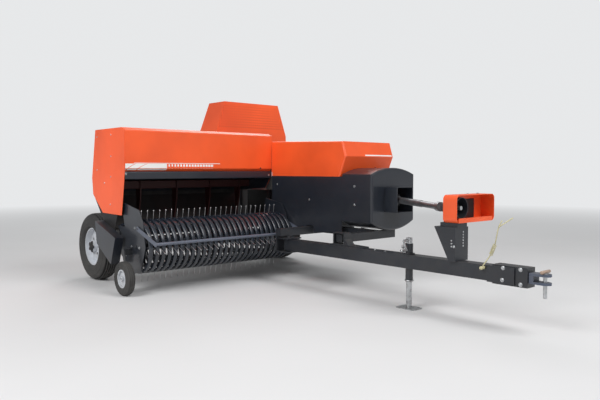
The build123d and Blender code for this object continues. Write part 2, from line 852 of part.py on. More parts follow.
# Bale tension: a portal over the chamber's rear end with two cranked screws and their springs
tension_x = chamber_rear + 90
portal_z = wall_top + 134.0
with BuildPart() as tension_frame:
    with BuildSketch(cross(tension_x - 25)):
        for post_y in (chamber_right - plate - 26, chamber_left + plate + 26):
            with Locations((post_y, (frame_top + portal_z) / 2)):
                Rectangle(50, portal_z - frame_top)
        with Locations((chamber_y, portal_z)):
            Rectangle(chamber_width + 2 * plate + 102, 50)
    extrude(amount=50)
    for screw_y in (chamber_y - 140, chamber_y + 140):
        with BuildSketch(Plane.XY.offset(chamber_roof + plate)):
            with Locations((tension_x, screw_y)):
                Circle(12)
        extrude(amount=330)
        with BuildSketch(Plane(origin=(tension_x, screw_y, 0), x_dir=(0, 1, 0), z_dir=(1, 0, 0))):
            with Locations((26, wall_top + 19)):
                Rectangle(28, 10)
            for turn in range(5):
                with Locations((26, wall_top + 36 + turn * 16)):
                    Circle(7)
            with Locations((18, wall_top + 69)):
                Rectangle(12, 80)
        revolve(axis=Axis((tension_x, screw_y, 0), (0, 0, 1)))
        with BuildSketch(Plane.XY.offset(chamber_roof + plate + 318)):
            with Locations((tension_x, screw_y + 55)):
                SlotOverall(140, 24, rotation=90)
        extrude(amount=12)
        with BuildSketch(Plane.XY.offset(chamber_roof + plate + 320)):
            with Locations((tension_x, screw_y + 110)):
                Circle(12)
        extrude(amount=110)
tension_frame.part.label = "tension_frame"
export_step(tension_frame.part, "parts/tension_frame.step")

# Bale chute: a flanged plate hinged on the chamber's rear edge
chute_hinge = (chamber_rear - 14, frame_top - 4)
with BuildPart() as chute_pin:
    with BuildSketch(side(chamber_y + 200)):
        with Locations(chute_hinge):
            Circle(8)
    extrude(amount=400)
    for lug_y in (chamber_y + 190, chamber_y + 6, chamber_y - 178):
        with BuildSketch(side(lug_y)):
            Polygon(
                (chute_hinge[0] - 10, chute_hinge[1] - 10),
                (chamber_rear + 40, chute_hinge[1] - 10),
                (chamber_rear + 40, frame_top - seat),
                (chamber_rear - 1, frame_top - seat),
                (chute_hinge[0] + 6, chute_hinge[1] + 10),
                (chute_hinge[0] - 10, chute_hinge[1] + 10),
                align=None,
            )
        extrude(amount=12)
chute_pin.part.label = "chute_pin"
export_step(chute_pin.part, "parts/chute_pin.step")

with BuildPart() as bale_chute:
    chute_rear = chamber_rear - 250
    with BuildSketch(side(chamber_y + 225)):
        Polygon(
            (chute_rear, frame_top),
            (chute_hinge[0] - 14, frame_top),
            (chute_hinge[0] - 14, frame_top + sheet),
            (chute_rear, frame_top + sheet),
            align=None,
        )
    extrude(amount=450)
    for flange_y in (chamber_y + 225, chamber_y - 225 + sheet):
        with BuildSketch(side(flange_y)):
            Polygon(
                (chute_rear, frame_top),
                (chute_hinge[0] - 14, frame_top),
                (chute_hinge[0] - 14, frame_top + 70),
                (chute_rear, frame_top + 40),
                align=None,
            )
        extrude(amount=sheet)
    for tube_y in (chamber_y + 170, chamber_y - 20):
        with BuildSketch(side(tube_y)):
            with Locations(chute_hinge):
                Circle(13)
            with Locations((chute_hinge[0] - 14, chute_hinge[1] + 6)):
                Rectangle(20, 8)
            with Locations(chute_hinge):
                Circle(8 + fit, mode=Mode.SUBTRACT)
        extrude(amount=150)
bale_chute.part.label = "bale_chute"
export_step(bale_chute.part, "parts/bale_chute.step")

# Twine box with its lid on the chamber's left side
box_rear = axle_x + 430
box_front = axle_x + 880
box_left = 1470.0
box_top = 1100.0
with BuildPart() as twine_box:
    with BuildSketch(Plane.XY.offset(640)):
        with Locations((box_rear, chamber_left + plate + rib + seat)):
            Rectangle(box_front - box_rear, box_left - chamber_left - plate - rib - seat, align=Align.MIN)
    extrude(amount=box_top - 640)
    offset(amount=-sheet, openings=twine_box.faces().sort_by(Axis.Z)[-1])
    with BuildSketch(side(chamber_left + plate + rib + seat)):
        with Locations((box_rear + 100, 790), (box_front - 100, 790)):
            Rectangle(100, 60)
    extrude(amount=rib)
    for ear_x in (box_rear + 40, box_front - 80):
        with BuildSketch(cross(ear_x)):
            with Locations((chamber_left + plate + rib + 12, box_top + 2)):
                Circle(9)
        extrude(amount=40)
    with BuildSketch(cross(box_rear + 20)):
        with Locations((chamber_left + plate + rib + 12, box_top + 2)):
            Circle(4)
    extrude(amount=box_front - box_rear - 40)
twine_box.part.label = "twine_box"
export_step(twine_box.part, "parts/twine_box.step")

with BuildPart() as twine_lid:
    lid_hinge = (chamber_left + plate + rib + 12, box_top + 2)
    with BuildSketch(Plane.XY.offset(box_top + 4)):
        with Locations((box_rear - 5, lid_hinge[0] + 14)):
            Rectangle(box_front - box_rear + 10, box_left - lid_hinge[0] - 6, align=Align.MIN)
    extrude(amount=sheet)
    with BuildSketch(cross(box_rear + 84)):
        with Locations(lid_hinge):
            Circle(8)
        with Locations((lid_hinge[0] + 12, lid_hinge[1] + 4)):
            Rectangle(16, 4)
        with Locations(lid_hinge):
            Circle(4 + fit, mode=Mode.SUBTRACT)
    extrude(amount=box_front - box_rear - 168)
    with BuildSketch(side(box_left + 10)):
        with Locations(((box_rear + box_front) / 2, box_top - 8)):
            Rectangle(box_front - box_rear + 10, 32)
    extrude(amount=sheet)
twine_lid.part.label = "twine_lid"
export_step(twine_lid.part, "parts/twine_lid.step")

# Drawbar: a hollow box beam with a round pivot end
with BuildPart() as drawbar:
    with BuildSketch(side(draw_y + draw_width / 2)):
        with Locations((pivot_x, draw_bottom)):
            Rectangle(draw_front - pivot_x, draw_height, align=Align.MIN)
    extrude(amount=draw_width)
    with BuildSketch(side(draw_y + draw_width / 2 - 8)):
        with Locations((pivot_x + 90, draw_bottom + 8)):
            Rectangle(draw_front - pivot_x - 98, draw_height - 16, align=Align.MIN)
    extrude(amount=draw_width - 16, mode=Mode.SUBTRACT)
    with BuildSketch(Plane.XY.offset(draw_bottom)):
        with Locations((pivot_x, draw_y)):
            Circle(draw_width / 2)
    extrude(amount=draw_height)
    with BuildSketch(Plane.XY.offset(draw_bottom)):
        with Locations((pivot_x, draw_y)):
            Circle(pivot_pin_d / 2 + fit)
        with Locations((jack_x, draw_y)):
            Circle(jack_d / 2 + seat)
    extrude(amount=draw_height, mode=Mode.SUBTRACT)
    # clamp that rides over the front cross beam, with room for the swing in front of the beam
    lock_x = axle_x + 2400
    lock_rear = lock_x - rail / 2 - 7
    lock_front = lock_x + rail / 2 + 44
    with BuildSketch(side(draw_y + 45)):
        Polygon(
            (lock_rear - 60, draw_top),
            (lock_front + 250, draw_top),
            (lock_front + 250, draw_top + 14),
            (lock_front + 60, draw_top + 20),
            (lock_front + 12, draw_top + 70),
            (lock_front + 12, frame_top + 10),
            (lock_rear - 12, frame_top + 10),
            (lock_rear - 12, draw_top + 20),
            (lock_rear - 60, draw_top + 14),
            align=None,
        )
    extrude(amount=90)
    with BuildSketch(side(draw_y + 60)):
        with Locations((lock_rear, draw_top + 20)):
            Rectangle(lock_front - lock_rear, frame_top - draw_top - 20 + 2, align=Align.MIN)
    extrude(amount=120, mode=Mode.SUBTRACT)
drawbar.part.label = "drawbar"
export_step(drawbar.part, "parts/drawbar.step")

# Pedestal: a folded plate on the drawbar, with the shaft's bearing and its black bell on top
ped_rear = axle_x + 3580
ped_front = axle_x + 3785
ped_width = 180.0
ped_top = 750.0
guard_back = axle_x + 3670
guard_bottom = 790.0
support = 24.0
bell_depth = 112.0
bell_r = 88.0
with BuildPart() as pedestal:
    for wall_y in (draw_y - ped_width / 2 + 6, draw_y + ped_width / 2):
        with BuildSketch(side(wall_y)):
            Polygon(
                (ped_rear, ped_top),
                (ped_rear + 140, draw_top + seat),
                (ped_front, draw_top + seat),
                (ped_front, ped_top),
                align=None,
            )
        extrude(amount=6)
    with BuildSketch(cross(ped_front - 6)):
        with Locations((draw_y, (draw_top + seat + ped_top) / 2)):
            Rectangle(ped_width, ped_top - draw_top - seat)
    extrude(amount=6)
    with BuildSketch(Plane.XY.offset(ped_top - 6)):
        with Locations((ped_rear, draw_y)):
            Rectangle(ped_front - ped_rear, ped_width, align=(Align.MIN, Align.CENTER))
    extrude(amount=12)
    with BuildSketch(Plane.XY.offset(ped_top + 6)):
        with Locations((ped_rear + 40, draw_y)):
            Rectangle(guard_back - ped_rear + 80, 130, align=(Align.MIN, Align.CENTER))
    extrude(amount=guard_bottom - ped_top - 6 - seat)
    bell_start = guard_back - seat - stub_x
    with BuildSketch(cross(guard_back - seat - support)):
        with Locations((draw_y, (ped_top + drive_z) / 2)):
            Rectangle(110, drive_z - ped_top)
    extrude(amount=support)
    with BuildSketch(Plane(origin=(stub_x, draw_y, drive_z), x_dir=(1, 0, 0), z_dir=(0, -1, 0))):
        Polygon(
            (0, 25 + fit),
            (0, 38),
            (bell_start - support, 38),
            (bell_start - support, 58),
            (bell_start + 8, 58),
            (bell_start + 20, bell_r),
            (bell_start + bell_depth, bell_r),
            (bell_start + bell_depth, bell_r - 5),
            (bell_start + 30, bell_r - 5),
            (bell_start + 20, 40),
            (bell_start + 20, 25 + fit),
            align=None,
        )
    revolve(axis=Axis((stub_x, draw_y, drive_z), (1, 0, 0)))
    with BuildSketch(cross(stub_x)):
        with Locations((draw_y, drive_z)):
            Circle(25 + fit)
    extrude(amount=200, mode=Mode.SUBTRACT)
pedestal.part.label = "pedestal"
export_step(pedestal.part, "parts/pedestal.step")

# Guard over the end of the shaft: an orange box that is open in front
guard_right = 70.0
guard_left = 625.0
guard_height = 228.0
guard_depth = 132.0
with BuildPart() as pto_guard:
    guard_centre = ((guard_right + guard_left) / 2, guard_bottom + guard_height / 2)
    with BuildSketch(cross(guard_back)):
        with Locations(guard_centre):
            RectangleRounded(guard_left - guard_right, guard_height, 40)
    extrude(amount=guard_depth)
    with BuildSketch(cross(guard_back + sheet)):
        with Locations(guard_centre):
            RectangleRounded(guard_left - guard_right - 2 * sheet, guard_height - 2 * sheet, 36)
    extrude(amount=guard_depth, mode=Mode.SUBTRACT)
    with BuildSketch(cross(guard_back + guard_depth - sheet)):
        with Locations((guard_centre[0], guard_bottom + 20)):
            Rectangle(guard_left - guard_right - 60, 38)
    extrude(amount=sheet)
    with BuildSketch(cross(guard_back)):
        with Locations((draw_y, drive_z)):
            Circle(58 + seat)
    extrude(amount=sheet, mode=Mode.SUBTRACT)
pto_guard.part.label = "pto_guard"
export_step(pto_guard.part, "parts/pto_guard.step")

# Splined stub that takes the tractor's shaft
stub_d = 34.9
stub_reach = 76.0
with BuildPart() as pto_stub:
    with BuildSketch(cross(stub_x + 10)):
        with Locations((draw_y, drive_z)):
            Circle(25)
    extrude(amount=guard_back - stub_x + 20)
    with BuildSketch(cross(guard_back + 30)):
        with Locations((draw_y, drive_z)):
            Circle(stub_d / 2)
    extrude(amount=stub_reach)
pto_stub.part.label = "pto_stub"
export_step(pto_stub.part, "parts/pto_stub.step")

# Telescopic shaft between the pedestal and the flywheel
shaft_dx = stub_x - joint_x
shaft_dy = draw_y - drive_y
shaft_length = hypot(shaft_dx, shaft_dy)
along = Plane(
    origin=(joint_x, drive_y, drive_z),
    x_dir=(0, 0, 1),
    z_dir=(shaft_dx / shaft_length, shaft_dy / shaft_length, 0),
)
shaft_plane = Plane(
    origin=(joint_x, drive_y, drive_z),
    x_dir=(shaft_dx / shaft_length, shaft_dy / shaft_length, 0),
    z_dir=(shaft_dy / shaft_length, -shaft_dx / shaft_length, 0),
)
shaft_axis = Axis((joint_x, drive_y, drive_z), (shaft_dx, shaft_dy, 0))
ball_r = ball_d / 2
tube_r = tube_d / 2
tube_bore_r = tube_r - tube_wall
ball_neck = (ball_r**2 - tube_r**2) ** 0.5
tube_length = 720.0
tube_bore_start = 60.0
with BuildPart() as shaft_outer:
    with BuildSketch(shaft_plane):
        with BuildLine():
            ThreePointArc((-ball_r, 0), (0, ball_r), (ball_neck, tube_r))
            Polyline(
                (ball_neck, tube_r),
                (tube_length, tube_r),
                (tube_length, tube_bore_r),
                (tube_bore_start, tube_bore_r),
                (tube_bore_start, 0),
                (-ball_r, 0),
            )
        make_face()
    revolve(axis=shaft_axis)
    # the upright grease hole of the joint
    with BuildSketch(Plane.XY.offset(drive_z - ball_d)):
        with Locations((joint_x, drive_y)):
            Circle(8)
    extrude(amount=2 * ball_d, mode=Mode.SUBTRACT)
shaft_outer.part.label = "shaft_outer"
export_step(shaft_outer.part, "parts/shaft_outer.step")

tube_overlap = 380.0
with BuildPart() as shaft_inner:
    with BuildSketch(along.offset(tube_overlap)):
        Circle(tube_d / 2 - tube_wall - fit)
        Circle(tube_d / 2 - 2 * tube_wall - fit, mode=Mode.SUBTRACT)
    extrude(amount=shaft_length - tube_overlap - 70)
    with BuildSketch(along.offset(shaft_length - 120)):
        Circle(tube_d / 2 + 8)
    extrude(amount=70)
shaft_inner.part.label = "shaft_inner"
export_step(shaft_inner.part, "parts/shaft_inner.step")

# Hitch: a bolted head on the drawbar, and a clevis that can roll in it
with BuildPart() as hitch_head:
    for face_y in (draw_y + draw_width / 2 + 14, draw_y - draw_width / 2 - seat):
        with BuildSketch(side(face_y)):
            with Locations((draw_front - 40, hitch_z)):
                Rectangle(230, 130, align=(Align.MIN, Align.CENTER))
        extrude(amount=14 - seat)
    with BuildSketch(cross(draw_front + seat)):
        with Locations((draw_y, hitch_z)):
            Rectangle(draw_width + 2, 150)
            Circle(24 + fit, mode=Mode.SUBTRACT)
    extrude(amount=hitch_front - draw_front)
hitch_head.part.label = "hitch_head"
export_step(hitch_head.part, "parts/hitch_head.step")

with BuildPart() as hitch_clevis:
    with BuildSketch(cross(draw_front + 30)):
        with Locations((draw_y, hitch_z)):
            Circle(24)
    extrude(amount=hitch_front - draw_front)
    with BuildSketch(cross(hitch_front + 5)):
        with Locations((draw_y, hitch_z)):
            Rectangle(jaw_width, jaw_gap + 2 * jaw_plate)
    extrude(amount=35)
    for jaw_z in (hitch_z - jaw_gap / 2 - jaw_plate, hitch_z + jaw_gap / 2):
        with BuildSketch(Plane.XY.offset(jaw_z)):
            with Locations((hitch_front + 5, draw_y)):
                Rectangle(pin_x - hitch_front - 5, jaw_width, align=(Align.MIN, Align.CENTER))
            with Locations((pin_x, draw_y)):
                Circle(jaw_width / 2)
        extrude(amount=jaw_plate)
    with BuildSketch(Plane.XY.offset(hitch_z - 100)):
        with Locations((pin_x, draw_y)):
            Circle(hitch_pin_d / 2 + fit)
    extrude(amount=200, mode=Mode.SUBTRACT)
hitch_clevis.part.label = "hitch_clevis"
export_step(hitch_clevis.part, "parts/hitch_clevis.step")

with BuildPart() as hitch_pin:
    pin_top = hitch_z + jaw_gap / 2 + jaw_plate + seat
    with BuildSketch(Plane.XY.offset(280)):
        with Locations((pin_x, draw_y)):
            Circle(hitch_pin_d / 2)
    extrude(amount=pin_top - 280)
    with BuildSketch(Plane.XY.offset(pin_top)):
        with Locations((pin_x, draw_y)):
            Circle(24)
    extrude(amount=8)
    with BuildSketch(side(draw_y + 60)):
        with Locations((pin_x, pin_top + 16)):
            Circle(9)
    extrude(amount=120)
hitch_pin.part.label = "hitch_pin"
export_step(hitch_pin.part, "parts/hitch_pin.step")

# Jack: an outer tube through the drawbar, with a crank head, and a leg with its foot
with BuildPart() as jack_tube:
    with BuildSketch(Plane.XY.offset(240)):
        with Locations((jack_x, draw_y)):
            Circle(jack_d / 2)
    extrude(amount=jack_top - 240)
    with BuildSketch(Plane.XY.offset(240)):
        with Locations((jack_x, draw_y)):
            Circle(leg_d / 2 + fit)
    extrude(amount=jack_top - 255, mode=Mode.SUBTRACT)
    with BuildSketch(Plane.XY.offset(draw_top + seat)):
        with Locations((jack_x, draw_y)):
            Circle(50)
            Circle(jack_d / 2 - 2, mode=Mode.SUBTRACT)
    extrude(amount=10)
jack_tube.part.label = "jack_tube"
export_step(jack_tube.part, "parts/jack_tube.step")

# Crank head: a plated cap on the tube, its arm and its grip
with BuildPart() as jack_head:
    with BuildSketch(Plane.XY.offset(jack_top + seat)):
        with Locations((jack_x, draw_y)):
            Circle(27)
    extrude(amount=50)
    with BuildSketch(side(draw_y - 15)):
        with Locations((jack_x, jack_top + 30)):
            Circle(11)
    extrude(amount=62)
    with BuildSketch(side(draw_y - 77)):
        with BuildLine():
            Polyline((jack_x, jack_top + 30), (jack_x + 30, jack_top - 50))
        trace(line_width=20)
    extrude(amount=8)
    with BuildSketch(side(draw_y - 77)):
        with Locations((jack_x + 30, jack_top - 50)):
            Circle(11)
    extrude(amount=75)
jack_head.part.label = "jack_head"
export_step(jack_head.part, "parts/jack_head.step")

with BuildPart() as jack_leg:
    with BuildSketch(Plane.XY):
        with Locations((jack_x, draw_y)):
            RectangleRounded(foot_length, foot_width, 20)
    extrude(amount=8)
    with BuildSketch(Plane.XY.offset(8)):
        with Locations((jack_x, draw_y)):
            Circle(leg_d / 2)
    extrude(amount=340)
jack_leg.part.label = "jack_leg"
export_step(jack_leg.part, "parts/jack_leg.step")

# Hose holder: a sprung rod with a forked tip on the side of the drawbar
with BuildPart() as hose_holder:
    holder_y = draw_y - draw_width / 2 - 34
    for start, end, width in (
        ((axle_x + 4026, 466), (axle_x + 4102, 575), 10),
        ((axle_x + 4106, 566), (axle_x + 4140, 652), 30),
        ((axle_x + 4132, 645), (axle_x + 4167, 788), 10),
        ((axle_x + 4167, 784), (axle_x + 4196, 839), 10),
        ((axle_x + 4167, 784), (axle_x + 4285, 864), 10),
    ):
        with BuildSketch(side(holder_y + width / 2)):
            with BuildLine():
                Polyline(start, end)
            trace(line_width=width)
        extrude(amount=width)
    with BuildSketch(side(draw_y - draw_width / 2 - seat)):
        with Locations((axle_x + 4026, 460)):
            Circle(14)
    extrude(amount=44)
hose_holder.part.label = "hose_holder"
export_step(hose_holder.part, "parts/hose_holder.step")

# Pickup frame: a rear tube that turns in the frame's lugs, and a plate at each end
frame_right_y = tine_first_y - tine_pitch / 2 - band_width / 2 - 2
frame_left_y = tine_first_y + (tine_count - 0.5) * tine_pitch + band_width / 2 + 2
tail_x = axle_x + 632.0
right_outline = (
    (lift_x - 45, lift_z + 20),
    (lift_x + 20, lift_z + 22),
    (lift_x + 65, lift_z + 22),
    (axle_x + 790, 640),
    (axle_x + 760, 760),
    (axle_x + 789, 885),
    (axle_x + 1090, 829),
    (axle_x + 1172, 706),
    (axle_x + 1225, 467),
    (axle_x + 1130, 225),
    (axle_x + 901, 163),
    (axle_x + 800, 290),
    (lift_x + 20, lift_z - 60),
    (lift_x - 45, lift_z - 20),
)
ear_outline = (
    (axle_x + 725, 565),
    (tail_x, 640),
    (tail_x, 648),
    (axle_x + 655, 652),
    (axle_x + 800, 640),
)
left_outline = tuple((x, z) for x, z in right_outline if z > 300)
with BuildPart() as pickup_frame:
    with BuildSketch(side(frame_left_y)):
        with Locations((lift_x, lift_z)):
            Circle(lift_d / 2)
    extrude(amount=frame_left_y - frame_right_y)
    for plate_y, outline_points in (
        (frame_right_y, right_outline),
        (frame_left_y + plate, left_outline),
    ):
        with BuildSketch(side(plate_y)) as plate_face:
            Polygon(*outline_points, align=None)
            fillet(plate_face.vertices(), 12)
            Polygon(*ear_outline, align=None)
            with Locations((reel_x, reel_z)):
                Circle(25 + fit, mode=Mode.SUBTRACT)
        extrude(amount=plate)
    # pins of the windguard
    guard_pin = guard_gap + guard_arm + 2
    for pin_y in (frame_right_y - plate, frame_left_y + plate + guard_pin):
        with BuildSketch(side(pin_y)):
            with Locations(guard_pivot):
                Circle(12)
        extrude(amount=guard_pin)
    # rear angle under the strippers' tails
    with BuildSketch(side(frame_left_y)):
        Polygon(
            (tail_x, 648),
            (tail_x + 18, 648),
            (tail_x + 18, 620),
            (tail_x + 8, 610),
            align=None,
        )
    extrude(amount=frame_left_y - frame_right_y)
pickup_frame.part.label = "pickup_frame"
export_step(pickup_frame.part, "parts/pickup_frame.step")

# Strippers: curved bands between the tines
with BuildPart() as strippers:
    first_band = tine_first_y - tine_pitch / 2
    tail = (axle_x + 640, 650)
    top_angle = 105
    top_end = (reel_x + band_r * cos(radians(top_angle)), reel_z + band_r * sin(radians(top_angle)))
    for number in range(tine_count + 1):
        band_y = first_band + number * tine_pitch
        with BuildSketch(side(band_y + band_width / 2)):
            with BuildLine():
                CenterArc((reel_x, reel_z), band_r, -45, top_angle + 45)
                Line(top_end, tail)
            trace(line_width=sheet)
        extrude(amount=band_width)
strippers.part.label = "strippers"
export_step(strippers.part, "parts/strippers.step")

# Reel: a shaft, four tine bars on spiders, and the tines
with BuildPart() as reel:
    with BuildSketch(side(frame_left_y + plate + 4)):
        with Locations((reel_x, reel_z)):
            Circle(25)
    extrude(amount=frame_left_y - frame_right_y + 2 * plate + 8)
    for spider_y in (tine_first_y + 30, -400.0, tine_first_y + tine_pitch * tine_count - 100):
        with BuildSketch(side(spider_y)):
            with Locations((reel_x, reel_z)):
                Circle(60)
                Rectangle(2 * bar_r, 40)
                Rectangle(40, 2 * bar_r)
        extrude(amount=6)
    with BuildSketch(side(frame_left_y - 8)):
        with Locations((reel_x, reel_z)):
            with PolarLocations(bar_r, 4):
                RegularPolygon(16, 6)
    extrude(amount=frame_left_y - frame_right_y - 16)
    for number in range(tine_count):
        with BuildSketch(side(tine_first_y + number * tine_pitch + tine_d / 2)):
            with Locations((reel_x, reel_z)):
                with PolarLocations((bar_r + tine_r) / 2, 4):
                    Rectangle(tine_r - bar_r, tine_d)
        extrude(amount=tine_d)
reel.part.label = "reel"
export_step(reel.part, "parts/reel.step")

# Windguard: a cross bar on two arms that rest on the pickup's end plates
with BuildPart() as windguard:
    guard_left_y = frame_left_y + plate + guard_gap + guard_arm
    guard_right_y = frame_right_y - plate - guard_gap
    with BuildSketch(side(guard_left_y)):
        with Locations(guard_bar):
            Circle(15)
    extrude(amount=guard_left_y - guard_right_y + guard_arm)
    for arm_y in (guard_left_y, guard_right_y):
        with BuildSketch(side(arm_y)):
            with BuildLine():
                Polyline(guard_pivot, guard_bar)
            trace(line_width=40)
            with Locations(guard_pivot, guard_bar):
                Circle(24)
            with Locations(guard_pivot):
                Circle(12 + fit, mode=Mode.SUBTRACT)
        extrude(amount=guard_arm)
windguard.part.label = "windguard"
export_step(windguard.part, "parts/windguard.step")

# Gauge wheel: an arm with a stub axle, a small rim and a tyre
with BuildPart() as gauge_arm:
    gauge_z = gauge_d / 2
    with BuildSketch(side(gauge_y + gauge_width / 2 + 20)):
        with BuildLine():
            Polyline((gauge_x - 140, 430), (gauge_x - 100, 300), (gauge_x, gauge_z))
        trace(line_width=44)
        with Locations((gauge_x, gauge_z)):
            Circle(26)
    extrude(amount=12)
    with BuildSketch(side(frame_right_y - plate - seat)):
        with Locations((gauge_x - 140, 405)):
            Rectangle(50, 60)
    extrude(amount=frame_right_y - plate - seat - gauge_y - gauge_width / 2 - 10)
    with BuildSketch(side(gauge_y + gauge_width / 2 + 10)):
        with Locations((gauge_x, gauge_z)):
            Circle(12)
    extrude(amount=gauge_width)
gauge_arm.part.label = "gauge_arm"
export_step(gauge_arm.part, "parts/gauge_arm.step")

with BuildPart() as gauge_rim:
    with BuildSketch(wheel_plane(gauge_x, gauge_y, gauge_z)):
        with Locations((0, 80)):
            Rectangle(60, 6)
        with Locations((-30, 88), (30, 88)):
            Rectangle(5, 22)
        with Locations((-10, 50)):
            Rectangle(6, 60)
        with Locations((0, 18 + fit / 2)):
            Rectangle(76, 12 - fit)
    revolve(axis=lateral(gauge_x, gauge_y, gauge_z))
gauge_rim.part.label = "gauge_rim"
export_step(gauge_rim.part, "parts/gauge_rim.step")

with BuildPart() as gauge_tyre:
    with BuildSketch(wheel_plane(gauge_x, gauge_y, gauge_z)):
        with BuildLine():
            Line((-27, 83 + seat), (27, 83 + seat))
            Line((27, 83 + seat), (27, 101))
            ThreePointArc((27, 101), (gauge_width / 2, 125), (27, gauge_z - 6))
            ThreePointArc((27, gauge_z - 6), (0, gauge_z), (-27, gauge_z - 6))
            ThreePointArc((-27, gauge_z - 6), (-gauge_width / 2, 125), (-27, 101))
            Line((-27, 101), (-27, 83 + seat))
        make_face()
    revolve(axis=lateral(gauge_x, gauge_y, gauge_z))
gauge_tyre.part.label = "gauge_tyre"
export_step(gauge_tyre.part, "parts/gauge_tyre.step")

# Pivots on the pickup: lugs of the frame around the rear tube, and the windguard's pins
with BuildPart() as lift_lugs:
    for lug_y in (-1080.0, -300.0, 380.0):
        with BuildSketch(side(lug_y)):
            with Locations((lift_x, lift_z)):
                Circle(lift_d / 2 + 14)
            with Locations((lift_x, lift_z + 25)):
                Rectangle(70, 50 - 2 * seat)
            with Locations((lift_x, lift_z)):
                Circle(lift_d / 2 + fit, mode=Mode.SUBTRACT)
        extrude(amount=20)
lift_lugs.part.label = "lift_lugs"
export_step(lift_lugs.part, "parts/lift_lugs.step")
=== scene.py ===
# %% [markdown]
# # Dressing a small square baler
# The machine comes from CAD as plain grey solids in their real places. These cells give it paint,
# rubber and bright steel, cut the ribs of its tyres, wind its spring teeth, and light it in a plain
# studio. Every length is in metres, +X is the way it is towed, +Y its left side and +Z up.

# %% Load the model
import json

import bpy
import numpy as np
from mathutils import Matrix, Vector


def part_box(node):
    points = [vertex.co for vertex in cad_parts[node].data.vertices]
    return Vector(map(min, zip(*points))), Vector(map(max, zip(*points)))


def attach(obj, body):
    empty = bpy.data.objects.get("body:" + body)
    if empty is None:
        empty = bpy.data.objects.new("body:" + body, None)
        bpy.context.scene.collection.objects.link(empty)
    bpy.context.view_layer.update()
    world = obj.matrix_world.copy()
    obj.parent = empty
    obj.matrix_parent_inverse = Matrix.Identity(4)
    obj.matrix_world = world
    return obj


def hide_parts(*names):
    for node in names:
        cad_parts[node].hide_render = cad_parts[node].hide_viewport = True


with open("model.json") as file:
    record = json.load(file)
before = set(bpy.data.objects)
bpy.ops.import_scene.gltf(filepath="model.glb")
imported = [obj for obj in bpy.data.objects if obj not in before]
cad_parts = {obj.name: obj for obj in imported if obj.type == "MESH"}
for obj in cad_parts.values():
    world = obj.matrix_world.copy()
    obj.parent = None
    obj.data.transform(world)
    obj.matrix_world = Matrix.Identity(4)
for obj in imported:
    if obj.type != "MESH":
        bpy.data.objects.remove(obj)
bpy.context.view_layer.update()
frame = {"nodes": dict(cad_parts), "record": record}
nodes = frame["nodes"]

# %% [markdown]
# ## Places
# The CAD pieces stay where they are. A new piece takes its place from the box of the CAD piece that
# carries it, or from a ray cast at it, and distances along the machine are measured forward from
# the axle.

# %% Measure from the model


def low(node):
    """The lowest corner of a node's box."""
    return np.array(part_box(node)[0])


def high(node):
    """The highest corner of a node's box."""
    return np.array(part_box(node)[1])


def middle(node):
    """The centre of a node's box."""
    return (low(node) + high(node)) / 2


axle_x, _, axle_z = middle("tyre_right")
print("axle at", round(axle_x, 3), "height", round(axle_z, 3))

# %% [markdown]
# ## The camera
# The picture is taken from the front right corner, 1.2 m above the ground, with a lens a little
# wider than Blender's own 50 mm. A camera could be aimed with a constraint, but a turn and a tip are
# two plain numbers that can be compared with the photograph, and Blender makes the rotation.

# %% Place the camera
camera_place = Vector((axle_x + 6.672, -4.156, 1.22))
camera_turn = np.radians(138.4)
camera_tip = np.radians(-2.77)
camera_lens = 37.2

camera = bpy.data.objects.new("camera", bpy.data.cameras.new("camera"))
bpy.context.scene.collection.objects.link(camera)
sight = Vector((
    np.cos(camera_turn) * np.cos(camera_tip),
    np.sin(camera_turn) * np.cos(camera_tip),
    np.sin(camera_tip),
))
camera.location = camera_place
camera.rotation_euler = sight.to_track_quat("-Z", "Y").to_euler()
camera.data.lens = camera_lens
camera.data.sensor_width = 36.0
bpy.context.scene.camera = camera
print("camera looks along", [round(v, 3) for v in sight])

# %% [markdown]
# ## Shader maths as plain expressions
# A material is a graph of nodes. Written node by node it is long and hard to read, so a small
# class wraps an output socket and lets `1 - mask * 0.5` add the Math nodes. Everything that isn't
# arithmetic comes from one function, `add_node`.

# %% A socket that can be calculated with


class Value:
    """An output socket with arithmetic: each operator adds one Math node."""

    def __init__(self, tree, output):
        self.tree = tree
        self.output = output

    def math(self, operation, *terms, clamp=False):
        """One Math node on the terms, which are values or numbers."""
        node = self.tree.nodes.new("ShaderNodeMath")
        node.operation = operation
        node.use_clamp = clamp
        for socket, term in zip(node.inputs, terms):
            if isinstance(term, Value):
                self.tree.links.new(term.output, socket)
            else:
                socket.default_value = term
        return Value(self.tree, node.outputs[0])

    def math_of(self, operation):
        """A Math node that takes only this value."""
        return self.math(operation, self)

    def __add__(self, other):
        return self.math("ADD", self, other)

    def __sub__(self, other):
        return self.math("SUBTRACT", self, other)

    def __rsub__(self, other):
        return self.math("SUBTRACT", other, self)

    def __mul__(self, other):
        return self.math("MULTIPLY", self, other)

    def __truediv__(self, other):
        return self.math("DIVIDE", self, other)

    def __rtruediv__(self, other):
        return self.math("DIVIDE", other, self)

    def __gt__(self, other):
        return self.math("GREATER_THAN", self, other)

    __radd__ = __add__
    __rmul__ = __mul__

    def clamped(self):
        """The value kept between 0 and 1."""
        return self.math("ADD", self, 0.0, clamp=True)

    def between(self, start, end):
        """0 where the value is at start, 1 where it is at end, and straight in between."""
        return ((self - start) / (end - start)).clamped()


print("operators on a socket: + - * / >")

# %% Any other node


def add_node(tree, kind, settings=None, inputs=None, out=0):
    """Any node of a tree: its settings first, then the values or links of its sockets."""
    node = tree.nodes.new("ShaderNode" + kind)
    for key, setting in (settings or {}).items():
        setattr(node, key, setting)
    for key, term in (inputs or {}).items():
        if isinstance(term, Value):
            tree.links.new(term.output, node.inputs[key])
        else:
            node.inputs[key].default_value = term
    return Value(tree, node.outputs[out]) if node.outputs else None


print("an output node, which gives no value, ends a tree")

